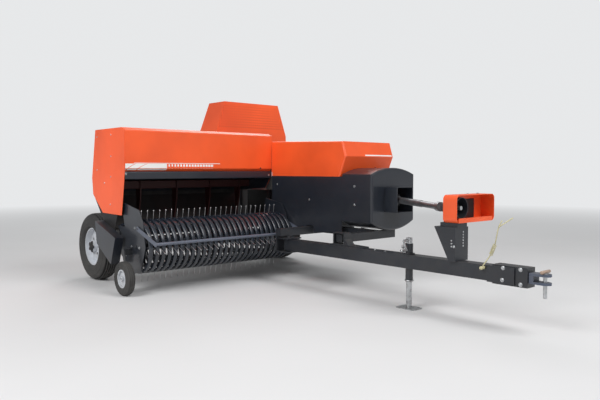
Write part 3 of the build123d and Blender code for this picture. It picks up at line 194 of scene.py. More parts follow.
# %% [markdown]
# ## A finish in the making
# A material starts with the place and the normal of each point and ends with one main shader.
# `node` adds any node to it. The other methods are the few steps that the finishes share: cloudy
# noise, a mix of colours, worn edges, a bump.

# %% A finish


class Finish:
    """A material in the making."""

    def __init__(self, name):
        self.material = bpy.data.materials.new(name)
        self.material.use_nodes = True
        self.tree = self.material.node_tree
        self.tree.nodes.clear()
        self.place = self.node("TexCoord", out="Object")
        self.normal = self.node("NewGeometry", out="Normal")

    def node(self, kind, settings=None, inputs=None, out=0):
        """Any node of this material."""
        return add_node(self.tree, kind, settings, inputs, out)

    def noise(self, scale, detail=3.0, stretch=None):
        """Cloudy noise from 0 to 1, with about `scale` clouds to a metre. Stretch scales each axis: below
        1 it draws the clouds out."""
        place = self.place
        if stretch:
            place = self.node("Mapping", None, {"Vector": place, "Scale": stretch})
        return self.node("TexNoise", None, {"Vector": place, "Scale": scale, "Detail": detail})

    def axis(self, vector, index):
        """One component of a vector."""
        return self.node("SeparateXYZ", None, {0: vector}, out=index)

    def mix(self, factor, first, second):
        """Colour that goes from first to second."""
        return self.node("Mix", {"data_type": "RGBA"}, {0: factor, 6: first, 7: second}, out=2)

    def edges(self, radius):
        """1 on sharp outer edges and inner corners, fading to 0 within the radius."""
        rounded = self.node("Bevel", {"samples": 3}, {"Radius": radius})
        both = {0: rounded, 1: self.normal}
        agreement = self.node("VectorMath", {"operation": "DOT_PRODUCT"}, both, out="Value")
        return ((1 - agreement) * 6).clamped()

    def bump(self, height, distance):
        """A normal from a height of 0 to 1 that stands for `distance` metres."""
        return self.node("Bump", None, {"Height": height, "Distance": distance, "Strength": 1.0})

    def surface(self, **sockets):
        """Ends the material with the main shader. A name's underscores are its socket's spaces."""
        shader = self.node("BsdfPrincipled", None, {key.replace("_", " "): v for key, v in sockets.items()})
        self.end(shader)
        return self.material

    def end(self, shader):
        """Joins the shader to the material's output."""
        self.node("OutputMaterial", None, {"Surface": shader})


print("a finish can", ", ".join(name for name in vars(Finish) if not name.startswith("_")))

# %% [markdown]
# ## Colours
# A colour is picked from a picture as 0 to 255, but shaders work with amounts of light. The curve
# between the two is the usual one of screens.

# %% Read a colour


def rgb(red, green, blue):
    """A colour as shaders take it, from the 0 to 255 of a picture."""
    shares = np.array([red, green, blue]) / 255
    linear = np.where(shares < 0.04045, shares / 12.92, ((shares + 0.055) / 1.055) ** 2.4)
    return (*linear.tolist(), 1.0)


print("a middle grey gives back", round(rgb(128, 128, 128)[0], 3), "of the light")

# %% [markdown]
# ## Paint
# Sprayed sheet metal has a faint orange-peel skin, tones that drift over a panel, dust on what
# faces up or hangs near the ground, and bright scuffs along its edges. One function makes all the
# paints, so the charcoal, orange, silver and red parts age alike.

# %% Spray the paint
dust_colour = rgb(150, 138, 118)


def paint(name, colour, roughness=0.38, coat=0.25, dust=0.25, wear=0.35, chip=(120, 120, 122), peel=0.0002,
          pattern=None):
    """Sprayed paint with orange peel, dust from above and worn edges. A pattern, if one is given, is
    a function of the finish that returns where the paint is pierced."""
    finish = Finish(name)
    drift = finish.noise(1.4, 3)
    blotch = finish.noise(9.0, 5)
    speckle = finish.noise(140.0, 2)
    facing_up = finish.axis(finish.normal, 2).between(0.2, 1.0)
    near_ground = 1 - finish.axis(finish.place, 2).between(0.15, 1.1)
    dusty = ((facing_up * 0.7 + near_ground * 0.45 + 0.08) * blotch.between(0.30, 0.72) * dust).clamped()
    worn = (finish.edges(0.004) * (blotch * 0.6 + speckle * 0.6).between(0.52, 0.74) * wear).clamped()
    dark = tuple(c * 0.80 for c in colour[:3]) + (1.0,)
    light = tuple(min(c * 1.12, 1.0) for c in colour[:3]) + (1.0,)
    tone = finish.mix(drift.between(0.3, 0.7), dark, light)
    tone = finish.mix(worn, tone, rgb(*chip))
    tone = finish.mix(dusty, tone, dust_colour)
    if pattern:
        tone = finish.mix(pattern(finish), tone, rgb(96, 30, 16))
    skin = finish.bump(finish.noise(260.0, 1) * 0.7 + speckle * 0.3, peel)
    return finish.surface(
        Base_Color=tone,
        Roughness=(roughness + dusty * 0.4 + worn * 0.1 + (blotch - 0.5) * 0.12).clamped(),
        Metallic=worn * 0.6,
        Normal=skin,
        Coat_Weight=(coat - dusty * coat).clamped(),
        Coat_Roughness=0.12,
    )


print("dust colour", [round(share, 2) for share in dust_colour[:3]])

# %% [markdown]
# ## The pierced tower
# The tower's sheets have rows of small air holes. Cut into the mesh they would cost thousands of
# faces for specks that are a pixel wide, so they are a pattern in the paint.

# %% Pierce the tower's paint
hole_pitch, hole_size, lowest_row, highest_row = 0.034, 0.045, 1.76, 2.06


def pierced(finish):
    """Rows of small holes in the upper part of what faces forward: a point is in a hole if its
    distance from the middle of its cell, (fract(y/p) - 1/2, fract(z/p) - 1/2), is small."""
    cell_y = (finish.axis(finish.place, 1) / hole_pitch).math_of("FRACT") - 0.5
    cell_z = (finish.axis(finish.place, 2) / hole_pitch).math_of("FRACT") - 0.5
    in_hole = (hole_size - (cell_y * cell_y + cell_z * cell_z)) > 0.0
    in_front = finish.axis(finish.normal, 0) > 0.5
    level = finish.axis(finish.place, 2)
    rows = (level > lowest_row) * ((highest_row - level) > 0.0)
    return in_hole * in_front * rows * 0.55


print("holes every", hole_pitch, "m between", lowest_row, "and", highest_row)

# %% [markdown]
# ## The machine's paints
# Charcoal for frame and panels, a clearer coat on the bands that the crop polishes, orange for the
# sheets, silver for the rims. They differ in colour, gloss, coat, dust and wear.

# %% Mix the paints
charcoal = rgb(33, 37, 44)
orange = rgb(250, 92, 38)
paints = {
    "frame_paint": paint("frame_charcoal", charcoal, 0.42, 0.2, 0.10, 0.35),
    "panel_paint": paint("panel_charcoal", rgb(36, 41, 50), 0.34, 0.35, 0.08, 0.35),
    "band_paint": paint("band_charcoal", rgb(30, 37, 48), 0.26, 0.6, 0.03, 0.45),
    "orange_paint": paint("hood_orange", orange, 0.42, 0.15, 0.08, 0.15, chip=(214, 120, 90)),
    "pierced_orange": paint("tower_orange", orange, 0.42, 0.15, 0.08, 0.15, chip=(214, 120, 90),
                            pattern=pierced),
    "rim_silver": paint("rim_silver", rgb(216, 220, 226), 0.36, 0.3, 0.22, 0.30, chip=(120, 112, 104)),
    # the feeder's red is darkened to a near-black red as painted shade under the hood
    "feeder_red": paint("feeder_red", rgb(58, 16, 17), 0.55, 0.0, 0.20, 0.20),
    "guard_grey": paint("guard_grey", rgb(92, 99, 114), 0.40, 0.2, 0.05, 0.30),
    "hitch_blue": paint("hitch_blue_grey", rgb(74, 84, 104), 0.45, 0.1, 0.30, 0.60),
    "cream_rod": paint("rod_cream", rgb(205, 198, 158), 0.40, 0.1, 0.10, 0.30),
    "white_film": paint("white_film", rgb(246, 244, 240), 0.35, 0.3, 0.06, 0.0),
    # black_iron is the cast black of the hub caps, and it also serves as painted shade on the feed table and
    # inside the bale walls
    "black_iron": paint("cast_black_and_painted_shade", rgb(24, 24, 27), 0.55, 0.0, 0.12, 0.30, peel=0.0006),
}
print(len(paints), "paints")

# %% [markdown]
# ## Bare and plated steel
# Zinc plate is bright with cloudy crystals, drawn tube carries fine lines along it, and spring wire
# has an oily shine. All of them are metallic, so their colour is that of the reflection.

# %% Make the steels


def steel(name, colour, roughness, cloud, stretch=None, rust=0.15):
    """Bare or plated steel with cloudy tone, a fine grain and a little brown here and there."""
    finish = Finish(name)
    cloudy = finish.noise(cloud, 4, stretch)
    fine = finish.noise(cloud * 9, 2, stretch)
    stain = finish.noise(22.0, 5).between(0.56, 0.80) * rust
    dark = tuple(c * 0.62 for c in colour[:3]) + (1.0,)
    tone = finish.mix(cloudy.between(0.3, 0.7), dark, colour)
    tone = finish.mix(stain, tone, rgb(104, 78, 58))
    return finish.surface(
        Base_Color=tone,
        Metallic=(0.92 - stain).clamped(),
        Roughness=(roughness + (cloudy - 0.5) * 0.25 + stain * 0.5).clamped(),
        Normal=finish.bump(fine, 0.00008),
    )


steels = {
    "zinc": steel("zinc_plate", rgb(206, 208, 210), 0.30, 26.0),
    "spring_steel": steel("spring_wire", rgb(150, 150, 152), 0.30, 40.0, rust=0.35),
    "tooth_steel": steel("tooth_wire", rgb(214, 214, 216), 0.34, 40.0, rust=0.05),
    "tube_grey": steel("drawn_tube", rgb(156, 158, 162), 0.42, 30.0, stretch=(0.15, 1.0, 1.0)),
}
print(len(steels), "steels")

# %% [markdown]
# ## Rubber
# Tyre rubber is nearly black but never clean: the field leaves it brown-grey, most of all near the
# ground. The rubber is fine-grained and dull, and the bottoms of its grooves are darkened as painted
# shade. The sidewall has fine moulded lines round it, which are a sine of the distance from the axle.

# %% Make the rubber


def rubber(name, axle, outer, half):
    """Dusty tyre rubber with a fine grain and painted shade in the bottoms of its grooves, for a tyre of
    that axle, outer radius and half width.
    """
    finish = Finish(name)
    forward = finish.axis(finish.place, 0) - float(axle[0])
    upward = finish.axis(finish.place, 2) - float(axle[2])
    from_axle = (forward * forward + upward * upward).math_of("SQRT")
    from_middle = (finish.axis(finish.place, 1) - float(axle[1])).math_of("ABSOLUTE")
    # painted shade: 1 in the bottoms of the tread's grooves
    groove_shade = from_axle.between(outer - 0.004, outer - 0.012) * from_middle.between(half * 0.72, half * 0.66)
    sidewall = from_middle.between(half * 0.80, half * 0.90)
    lines = (from_axle * 520).math_of("SINE") * 0.5 * sidewall
    cloud = finish.noise(7.0, 5)
    grain = finish.noise(320.0, 2)
    near_ground = 1 - finish.axis(finish.place, 2).between(0.0, 0.55)
    dirt = (cloud.between(0.34, 0.72) * 0.45 + near_ground * 0.35).clamped()
    tone = finish.mix(dirt, rgb(42, 42, 43), rgb(84, 82, 79))
    # painted shade darkens the groove bottoms
    tone = finish.mix(groove_shade * 0.85, tone, rgb(16, 16, 17))
    return finish.surface(
        Base_Color=tone,
        Roughness=(0.66 + dirt * 0.25).clamped(),
        Normal=finish.bump(grain * 0.4 + cloud * 0.3 + lines, 0.0010),
    )


tyres = {}
for node in ("tyre_right", "tyre_left", "gauge_tyre"):
    size = high(node) - low(node)
    tyres[node] = rubber("rubber_" + node, middle(node), float(size[2] / 2), float(size[1] / 2))
finishes = {**paints, **steels, **tyres, "tyre_rubber": tyres["tyre_right"]}
print(len(finishes), "finishes")

# %% [markdown]
# ## Dress the CAD pieces
# The record says which slot each CAD node takes its finish from, so one loop dresses them all. The
# orange sheets are charcoal inside and the bale walls black inside, as painted shade: faces that look
# inwards get a second, darker finish on the same mesh, which is simpler than a second sheet behind
# the first. The feed table is dressed black as painted shade under the hood.

# %% Give every node its finish
slot_of = {part["node"]: part["material_slot"] for part in frame["record"]["subparts"]}


def dress(piece, slot_name):
    """Puts one finish on the whole piece."""
    piece.data.materials.clear()
    piece.data.materials.append(finishes[slot_name])
    for face in piece.data.polygons:
        face.material_index = 0


def shade_inside(node, slot_name, way=None):
    """Puts a second, darker finish as painted shade on the faces that look one way, or towards the middle of
    the node's box.
    """
    mesh = nodes[node].data
    mesh.materials.append(finishes[slot_name])
    centre = Vector(middle(node))
    for face in mesh.polygons:
        if way is None:
            face.material_index = int(face.normal.dot(face.center - centre) < 0)
        else:
            face.material_index = int(face.normal.dot(way) > 0.9)


for name, node in nodes.items():
    dress(node, slot_of[name])
dress(nodes["knotter_cover"], "pierced_orange")
# painted shade: the feed table is dressed black, as it lies in shade under the hood
dress(nodes["feed_table"], "black_iron")
dress(nodes["windguard"], "guard_grey")
# painted shade: the inward faces of the hood, the front cover and the hood's ends are charcoal
shade_inside("pickup_hood", "panel_paint")
shade_inside("front_cover", "panel_paint")
shade_inside("hood_end_left", "panel_paint", Vector((0, -1, 0)))
shade_inside("hood_end_right", "panel_paint", Vector((0, 1, 0)))
# painted shade: the insides of the bale walls are black
for wall in ("bale_wall_right", "bale_wall_left"):
    shade_inside(wall, "black_iron", Vector((0, -1, 0)))
print("dressed", len(nodes), "nodes")

# %% [markdown]
# ## Surfaces from arrays
# Most new pieces are a grid of points worked out by numpy in one go: a profile turned about an axis,
# or a section carried along a path. A shape is a pair of arrays, its points and its four-cornered
# faces. One function lays the faces over a grid, the other makes the mesh object and dresses it.

# %% From arrays to a piece


def grid_faces(rows, columns, wrap_rows, wrap_columns):
    """Four-cornered faces between each point of a grid and its next neighbours."""
    row = np.arange(rows if wrap_rows else rows - 1)[:, None]
    column = np.arange(columns if wrap_columns else columns - 1)[None, :]
    next_row = (row + 1) % rows
    next_column = (column + 1) % columns
    corners = [
        row * columns + column,
        next_row * columns + column,
        next_row * columns + next_column,
        row * columns + next_column,
    ]
    return np.stack(corners, axis=-1).reshape(-1, 4)


def make_piece(name, shape, body, slot_name, smooth=True):
    """A mesh object from a shape, dressed and riding on its body."""
    points, faces = shape
    mesh = bpy.data.meshes.new(name)
    mesh.from_pydata(points.tolist(), [], faces.tolist())
    mesh.polygons.foreach_set("use_smooth", np.full(len(mesh.polygons), smooth))
    mesh.update()
    piece = bpy.data.objects.new(name, mesh)
    bpy.context.scene.collection.objects.link(piece)
    dress(piece, slot_name)
    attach(piece, body)
    print(name, len(faces), "faces")
    return piece


print("3 rows of 4 points in closed rings give", len(grid_faces(3, 4, False, True)), "faces")

# %% [markdown]
# ## Tyres
# An implement tyre has ribs that run round it and smooth sidewalls with two raised rings. Cut out
# of a torus, each groove would take a boolean, so the surface is one grid instead. Its profile is
# one closed curve of (across, radius): each groove is a dip of the tread, and its place shifts from
# side to side as it goes round, which makes the ribs wavy.

# %% A ribbed surface
round_steps = 160


def tyre_surface(centre, width, outer, bead, bore, grooves, groove_depth, groove_width, wave=0.0, waves=40):
    """A ribbed tyre. The tread is a shallow arch; a groove is a cosine dip at its own place across,
    moved by wave * triangle(waves * angle). The sidewall is an arc from the tread to the bead."""
    angles = np.linspace(0, 2 * np.pi, round_steps, endpoint=False)
    half = width / 2
    shoulder, crown_drop, drawn_radius = 0.80, 0.022, 0.37
    tread = np.linspace(-shoulder, shoulder, 81) * half
    crown = outer - crown_drop * (tread / half / shoulder) ** 4 * (outer / drawn_radius)
    side = np.linspace(0, 1, 41)[1:]
    side_across = half * (shoulder + (1 - shoulder) * np.sin(side * np.pi * 0.62))
    side_radius = crown[-1] - (crown[-1] - bead) * side
    rings = sum(
        height * (1 + np.cos(np.clip((side - place) * 60, -np.pi, np.pi)))
        for place, height in ((0.30, 0.0022), (0.72, 0.0018))
    )
    side_across = side_across + rings
    triangle = 2 * np.abs((angles * waves / (2 * np.pi)) % 1 - 0.5) - 0.5
    shift = wave * triangle[:, None]
    depth = sum(
        np.clip(np.cos(np.clip((tread - place - shift) / groove_width * np.pi, -np.pi, np.pi)) + 0.55, 0, 1)
        for place in np.array(grooves) * half
    )
    radius = crown[None, :] - groove_depth * np.clip(depth, 0, 1)
    across = np.broadcast_to(tread, radius.shape)
    whole = np.ones((round_steps, 1))
    inner = np.array([[0.62 * half, bore], [-0.62 * half, bore]])
    across = np.hstack([-side_across[::-1] * whole, across, side_across * whole, inner[:, 0] * whole])
    radius = np.hstack([side_radius[::-1] * whole, radius, side_radius * whole, inner[:, 1] * whole])
    cos, sin = np.cos(angles)[:, None], np.sin(angles)[:, None]
    points = np.stack([radius * cos, across, radius * sin], axis=-1) + centre
    return points.reshape(-1, 3), grid_faces(*radius.shape, True, True)


print(round_steps, "steps round a tyre")

# %% Put the tyres on
for side_name in ("right", "left"):
    node = "tyre_" + side_name
    size = high(node) - low(node)
    shape = tyre_surface(
        middle(node), size[1], size[2] / 2, bead=0.229, bore=0.2032,
        grooves=(-0.60, -0.36, -0.12, 0.12, 0.36, 0.60), groove_depth=0.013, groove_width=0.010, wave=0.003,
    )
    piece = make_piece("ribbed_tyre_" + side_name, shape, side_name + "_wheel", node)
    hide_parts(node)

size = high("gauge_tyre") - low("gauge_tyre")
shape = tyre_surface(
    middle("gauge_tyre"), size[1], size[2] / 2, bead=0.101, bore=0.0832,
    grooves=(-0.45, 0.0, 0.45), groove_depth=0.005, groove_width=0.006,
)
piece = make_piece("ribbed_gauge_tyre", shape, "gauge_wheel", "gauge_tyre")
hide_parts("gauge_tyre")

# %% [markdown]
# ## Turned shapes and copies
# A bolt, a rivet and a cap are each a profile turned about its own axis. A shape is made once, at
# the middle of the world, and a frame of three axes and a place carry each copy to its spot. So all
# 52 double teeth are one multiplication of arrays and one object.

# %% Turn, join and copy


def turned(profile, steps=32, form=None):
    """A profile of (radius, height) turned about Z: x = r form(a) cos a, y = r form(a) sin a, with
    form(a) = 1 for a round piece."""
    angles = np.linspace(0, 2 * np.pi, steps, endpoint=False)
    profile = np.asarray(profile, float)
    radius = profile[:, 0:1] * (np.ones(steps) if form is None else form(angles))
    height = np.broadcast_to(profile[:, 1:2], radius.shape)
    points = np.stack([radius * np.cos(angles), radius * np.sin(angles), height], axis=-1)
    return points.reshape(-1, 3), grid_faces(len(profile), steps, False, True)


def joined(shapes):
    """Several shapes as one: the faces of each count on from the points before it."""
    starts = np.cumsum([0] + [len(points) for points, _ in shapes[:-1]])
    points = np.concatenate([points for points, _ in shapes])
    faces = np.concatenate([faces + start for (_, faces), start in zip(shapes, starts)])
    return points, faces


def unit(vectors):
    """Vectors of length one."""
    return vectors / np.linalg.norm(vectors, axis=-1, keepdims=True)


def facing(directions):
    """Frames whose third axis is each direction and whose first axis is as level as it can be."""
    third = unit(np.asarray(directions, float))
    upright = np.abs(third[:, 2:3]) > 0.9
    helper = np.where(upright, [[1.0, 0, 0]], [[0, 0, 1.0]])
    first = unit(np.cross(helper, third))
    return np.stack([first, np.cross(third, first), third], axis=-1)


def copied(shape, frames, places):
    """The shape once for each frame of three axes and place: frame @ point + place."""
    points, faces = shape
    everywhere = np.einsum("nij,pj->npi", frames, points) + places[:, None, :]
    steps = (np.arange(len(places)) * len(points))[:, None, None]
    return everywhere.reshape(-1, 3), (faces[None] + steps).reshape(-1, 4)


print("a ring of two circles has", len(turned([(1, 0), (1, 1)])[1]), "faces")

# %% [markdown]
# ## Bolts and rivets
# A fastener sits wherever a line drawn at the piece first meets it. The tables give two
# coordinates and a direction for each, and a ray cast at the CAD piece finds the third. The head of
# a bolt is a hexagon, r = apothem / cos of the angle from the middle of a side, on a round washer.

# %% Shape the fasteners


def hexagon(angles):
    """The edge of a hexagon of inner radius 1: 1 / cos of the angle from the middle of its side."""
    return 1 / np.cos((angles + np.pi / 6) % (np.pi / 3) - np.pi / 6)


bolt = joined([
    turned([(0.0, 0), (0.0135, 0), (0.0135, 0.0015), (0.0128, 0.002), (0.0, 0.002)], 24),
    turned([(0.0, 0.002), (0.0085, 0.002), (0.0085, 0.0076), (0.0078, 0.0086), (0.0, 0.0086)], 24, hexagon),
])
dome = np.linspace(0, np.pi / 2, 6)
rivet = turned(np.stack([0.0085 * np.cos(dome), 0.0038 * np.sin(dome)], axis=-1), 16)
dot = turned([(0.0048, 0.0), (0.0044, 0.0006), (0.0, 0.0006)], 12)
stem = turned([(0.0065, 0.0), (0.0045, 0.010), (0.0035, 0.030), (0.0, 0.030)], 12)
print(len(bolt[1]), "faces for a bolt,", len(rivet[1]), "for a rivet")

# %% Cast a fastener at a piece
body_of_node = {
    node: body for body, held in frame["record"]["behaviour"]["bodies"].items() for node in held
}
towards = {
    "front": (1, 0, 0), "back": (-1, 0, 0), "left": (0, 1, 0), "right": (0, -1, 0), "up": (0, 0, 1),
}


def fastened(name, shape, node, seen_from, spots, scale=1.0, slot_name="zinc"):
    """The shape at each spot of the node's surface that shows from that direction."""
    outward = Vector(towards[seen_from])
    first, second = (i for i in range(3) if outward[i] == 0)
    depth = 3 - first - second
    start = Vector((axle_x, 0, 0))
    start[depth] = (high(node) if outward[depth] > 0 else low(node))[depth] + outward[depth] * 0.05
    shift = axle_x if first == 0 else 0.0
    places = []
    for spot in spots:
        start[first], start[second] = spot[0] + shift, spot[1]
        hit, place, *_ = nodes[node].ray_cast(start, -outward)
        if hit:
            places.append(place)
        else:
            print("  no surface of", node, "at", spot)
    places = np.array(places).reshape(-1, 3)
    frames = facing(np.tile(towards[seen_from], (len(places), 1))) * scale
    return make_piece(name, copied(shape, frames, places), body_of_node[node], slot_name, smooth=False)


print("a ray can come from", ", ".join(towards))

# %% Fasten the right side and the front
fastened("rivets_hood_end", rivet, "hood_end_right", "right", [
    (0.569, 1.583), (0.562, 1.363), (0.555, 1.150), (0.397, 1.083), (0.533, 0.862),
    (0.229, 1.574), (0.216, 1.220),
])
fastened("bolts_lip", bolt, "hood_lip", "front", [(-1.335, 1.181), (0.494, 1.159)], 0.9)
fastened("bolts_guard", bolt, "front_guard", "right", [(2.241, 1.049), (2.241, 0.857)])
fastened("bolts_housing", bolt, "housing_right", "right", [(1.541, 0.884), (0.98, 1.05), (0.98, 0.62)], 0.9)
fastened("bolts_pickup_plate", bolt, "pickup_frame", "right", [
    (1.012, 0.646), (0.936, 0.455), (1.104, 0.455), (0.807, 0.356),
])
fastened("bolts_hitch_plate", bolt, "hitch_head", "right", [
    (4.199, 0.477), (4.192, 0.384), (4.334, 0.478), (4.336, 0.366),
], 1.2)
fastened("bolts_pto_guard", bolt, "pto_guard", "up", [(3.700, 0.375), (3.700, 0.526)], 0.9)
fastened("dots_pedestal_front", dot, "pedestal", "front",
         [(0.191, 0.601 + 0.023 * step) for step in range(6)], 1.6)
fastened("dots_pedestal_right", dot, "pedestal", "right",
         [(3.747, 0.600 + 0.024 * step) for step in range(3)], 1.5)
fastened("bolt_pedestal", bolt, "pedestal", "right", [(3.772, 0.600)], 0.8)
fastened("bolts_drawbar", bolt, "drawbar", "up", [(2.867, 0.150), (2.99, 0.150)], 0.9)
fastened("hole_hood", dot, "pickup_hood", "front", [(0.364, 1.241)], 2.2, "black_iron")
fastened("hole_cover", dot, "front_cover", "front", [(1.056, 1.248)], 2.2, "black_iron")

# %% Fasten the left side and the tower
fastened("bolts_housing_left", bolt, "housing_left", "left",
         [(x, z) for z in (1.10, 0.72) for x in (0.96, 1.33, 1.70, 2.07)], 0.9)
fastened("bolts_guard_plate", bolt, "front_guard", "left", [(2.241, 1.049), (2.241, 0.857)])
fastened("rivets_tower", rivet, "knotter_cover", "front", [(0.52, 1.28), (0.92, 1.28), (1.32, 1.28)])
fastened("rivets_cover", rivet, "front_cover", "left", [(1.0 + 0.2 * step, 1.19) for step in range(6)])

# %% Bolt the wheels on
for side_name in ("right", "left"):
    node = "rim_" + side_name
    fastened("valve_" + side_name, stem, node, side_name, [(0.115, axle_z + 0.115)], 1.0, "tyre_rubber")
    turn = np.arange(6) * np.pi / 3
    spots = [(0.090 * np.cos(a), axle_z + 0.090 * np.sin(a)) for a in turn]
    fastened("wheel_bolts_" + side_name, bolt, node, side_name, spots, 1.25)

# %% [markdown]
# ## Hub caps
# A cast cap with five lobes closes each hub: r = r0 (1 + 0.22 cos 5a). It is black and sits on the
# end of the hub. Where the rim's sheet ends, its edge is rolled to a round bead.

# %% Close the hubs


def lobes(angles):
    """Five soft lobes round a cap."""
    return 1 + 0.22 * np.cos(5 * angles)


cap_profile = [
    (0.0, 0.0), (0.054, 0.0), (0.054, 0.008), (0.044, 0.014), (0.026, 0.017), (0.024, 0.021), (0.0, 0.022),
]
roll = np.linspace(0, 2 * np.pi, 13)
for side_name, way in (("right", -1), ("left", 1)):
    rim_node = "rim_" + side_name
    centre = middle(rim_node)
    centre[1] = (low if way < 0 else high)(rim_node)[1]
    frames = facing([(0, way, 0)])
    cap = copied(turned(cap_profile, 60, lobes), frames, centre[None])
    make_piece("hub_cap_" + side_name, cap, side_name + "_wheel", "black_iron")
    rim_radius = (high(rim_node) - low(rim_node))[2] / 2
    for edge, outward in ((high(rim_node)[1], 1), (low(rim_node)[1], -1)):
        centre[1] = edge - outward * 0.004
        bead = np.stack([rim_radius - 0.0035 + 0.0055 * np.cos(roll), 0.0055 * np.sin(roll)], axis=-1)
        name = "rim_bead_" + side_name + ("_outside" if outward == way else "_inside")
        ring = copied(turned(bead, 96), frames, centre[None])
        make_piece(name, ring, side_name + "_wheel", "rim_silver")

# %% [markdown]
# ## Wire along a path
# Spring teeth, springs and handles are round bar, bent. A curve object with a bevel would do it
# too, but here the rings of the tube come straight from the path, so that a coil and the leg that
# leaves it stay one piece.

# %% Sweep a round section


def swept(path, radius, side=None, steps=8):
    """A round section carried along a path: p + r (side cos a + over sin a), where over = path
    direction x side. The radius may change along the path, and its ends close on their centres."""
    path = np.asarray(path, float)
    if side is None:
        side = np.eye(3)[int(np.argmin(np.ptp(path, axis=0)))]
    side = np.broadcast_to(side, path.shape)
    radius = np.broadcast_to(radius, len(path))[:, None, None]
    along = unit(np.gradient(path, axis=0))
    over = unit(np.cross(along, side))
    side = np.cross(over, along)
    angles = np.linspace(0, 2 * np.pi, steps, endpoint=False)[:, None]
    rings = path[:, None] + radius * (side[:, None] * np.cos(angles) + over[:, None] * np.sin(angles))
    ends = [np.broadcast_to(end, (1, steps, 3)) for end in (path[0], path[-1])]
    rings = np.concatenate([ends[0], rings, ends[1]])
    return rings.reshape(-1, 3), grid_faces(len(rings), steps, False, True)


print("a rod of four points has", len(swept(np.linspace((0, 0, 0), (1, 0, 0), 4), 0.01)[1]), "faces")

# %% [markdown]
# ## The pickup reel
# The teeth are spring wire. Cylinders would do from afar, but the coils catch the light between
# the bands, so each double tooth is one wound wire: a leg from the tip to the bar, a coil of
# two and a quarter turns round it, a bridge, and the same again mirrored. Along a coil the wire is
# the helix (c cos a, -c sin a, pitch a), and its leg is the helix's tangent. The legs bend back
# a little towards their tips, by a parabola, and each bar is turned by its cam, so that the
# teeth in front lean down.

# %% Wind the spring teeth
reel_centre = middle("reel")
bar_radius, tip_radius, tooth_pitch, tooth_count = 0.190, 0.358, 0.068, 26
first_tooth = -1.250
wire = 0.0029
coil = 0.0185

leg_share = np.linspace(1, 0, 10)[:, None]
leg = np.hstack([coil - 0.012 * leg_share**2, leg_share * (tip_radius - bar_radius), 0 * leg_share])
leg_side = np.tile([1.0, 0, 0], (len(leg), 1))
coil_turn = np.linspace(0, 4.5 * np.pi, 37)[1:, None]
coil_way = np.hstack([np.cos(coil_turn), -np.sin(coil_turn), 0 * coil_turn])
coil_path = coil_way * coil + np.hstack([0 * coil_turn, 0 * coil_turn, coil_turn * 0.0066 / (2 * np.pi)])
half_tooth = np.concatenate([leg, coil_path])
half_side = np.concatenate([leg_side, coil_way])
mirror = np.array([1, 1, -1.0])
tooth_path = np.concatenate([half_tooth, half_tooth[::-1] * mirror + [0, 0, tooth_pitch]])
tooth_side = np.concatenate([half_side, half_side[::-1] * mirror])
tooth = swept(tooth_path, wire, tooth_side, steps=6)

bar_turn = np.repeat(np.arange(4) * np.pi / 2, tooth_count // 2)
tooth_y = np.tile(first_tooth + np.arange(tooth_count // 2) * 2 * tooth_pitch, 4)
outwards = np.stack([np.cos(bar_turn), 0 * bar_turn, np.sin(bar_turn)], axis=-1)
lean = bar_turn + np.repeat(np.radians([-19, -4, 0, -8]), tooth_count // 2)
along_leg = np.stack([np.cos(lean), 0 * lean, np.sin(lean)], axis=-1)
ahead = np.stack([-np.sin(lean), 0 * lean, np.cos(lean)], axis=-1)
across = np.broadcast_to([0.0, 1.0, 0.0], outwards.shape)
places = reel_centre * [1, 0, 1] + outwards * bar_radius + across * tooth_y[:, None]
teeth = make_piece("spring_teeth", copied(tooth, np.stack([ahead, along_leg, across], axis=-1), places),
                   "pickup_reel", "tooth_steel")
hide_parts("reel")

# %% [markdown]
# ## The reel's frame
# Four pipes carry the teeth, and three four-armed plates hold the pipes on the shaft. A plate is a
# turned disc whose radius changes with the angle, which saves cutting it out.

# %% Build the reel's frame


def cross_form(angles):
    """Outline of a four-armed plate: the arm's half width over the sine of the angle from the
    nearest arm, kept between the hub and the end of the arm."""
    from_arm = np.abs(np.sin((angles + np.pi / 4) % (np.pi / 2) - np.pi / 4))
    return np.clip(0.024 / np.maximum(from_arm, 1e-6), 0.062, 0.208)


shaft_radius, pipe_radius, plate_half, pipe_inset = 0.0245, 0.0145, 0.003, 0.022
low_y, high_y = low("reel")[1], high("reel")[1]
lateral = facing([(0, 1, 0)])
length = high_y - low_y
shaft = copied(
    turned([(0, 0), (shaft_radius, 0), (shaft_radius, length), (0, length)], 24), lateral,
    (reel_centre * [1, 0, 1] + [0, low_y, 0])[None],
)
bar_length = length - 2 * pipe_inset
bars = copied(
    turned([(0, 0), (pipe_radius, 0), (pipe_radius, bar_length), (0, bar_length)], 16),
    np.repeat(lateral, 4, axis=0),
    reel_centre * [1, 0, 1] + outwards[:: tooth_count // 2] * bar_radius + [0, low_y + pipe_inset, 0],
)
star = turned([(0, -plate_half), (1, -plate_half), (1, plate_half), (0, plate_half)], 240, cross_form)
star_places = np.array([
    [reel_centre[0], y, reel_centre[2]] for y in (first_tooth + 0.027, -0.403, first_tooth + 1.665)
])
stars = copied(star, np.repeat(lateral, 3, axis=0), star_places)
frame_shape = joined([shaft, bars, stars])
reel_frame = make_piece("reel_frame", frame_shape, "pickup_reel", "frame_paint", smooth=False)
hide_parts("reel")

# %% [markdown]
# ## Stripper bands
# The bands between the teeth are pressed from sheet: crowned on top and folded in at both edges.
# The section is (w sin q, h - f |sin q|^8) for q from -90 to 90 degrees, carried along an arc
# under and round the reel and then straight back to the feed table. Carried along by arrays it
# keeps upright where a bevelled curve would twist.

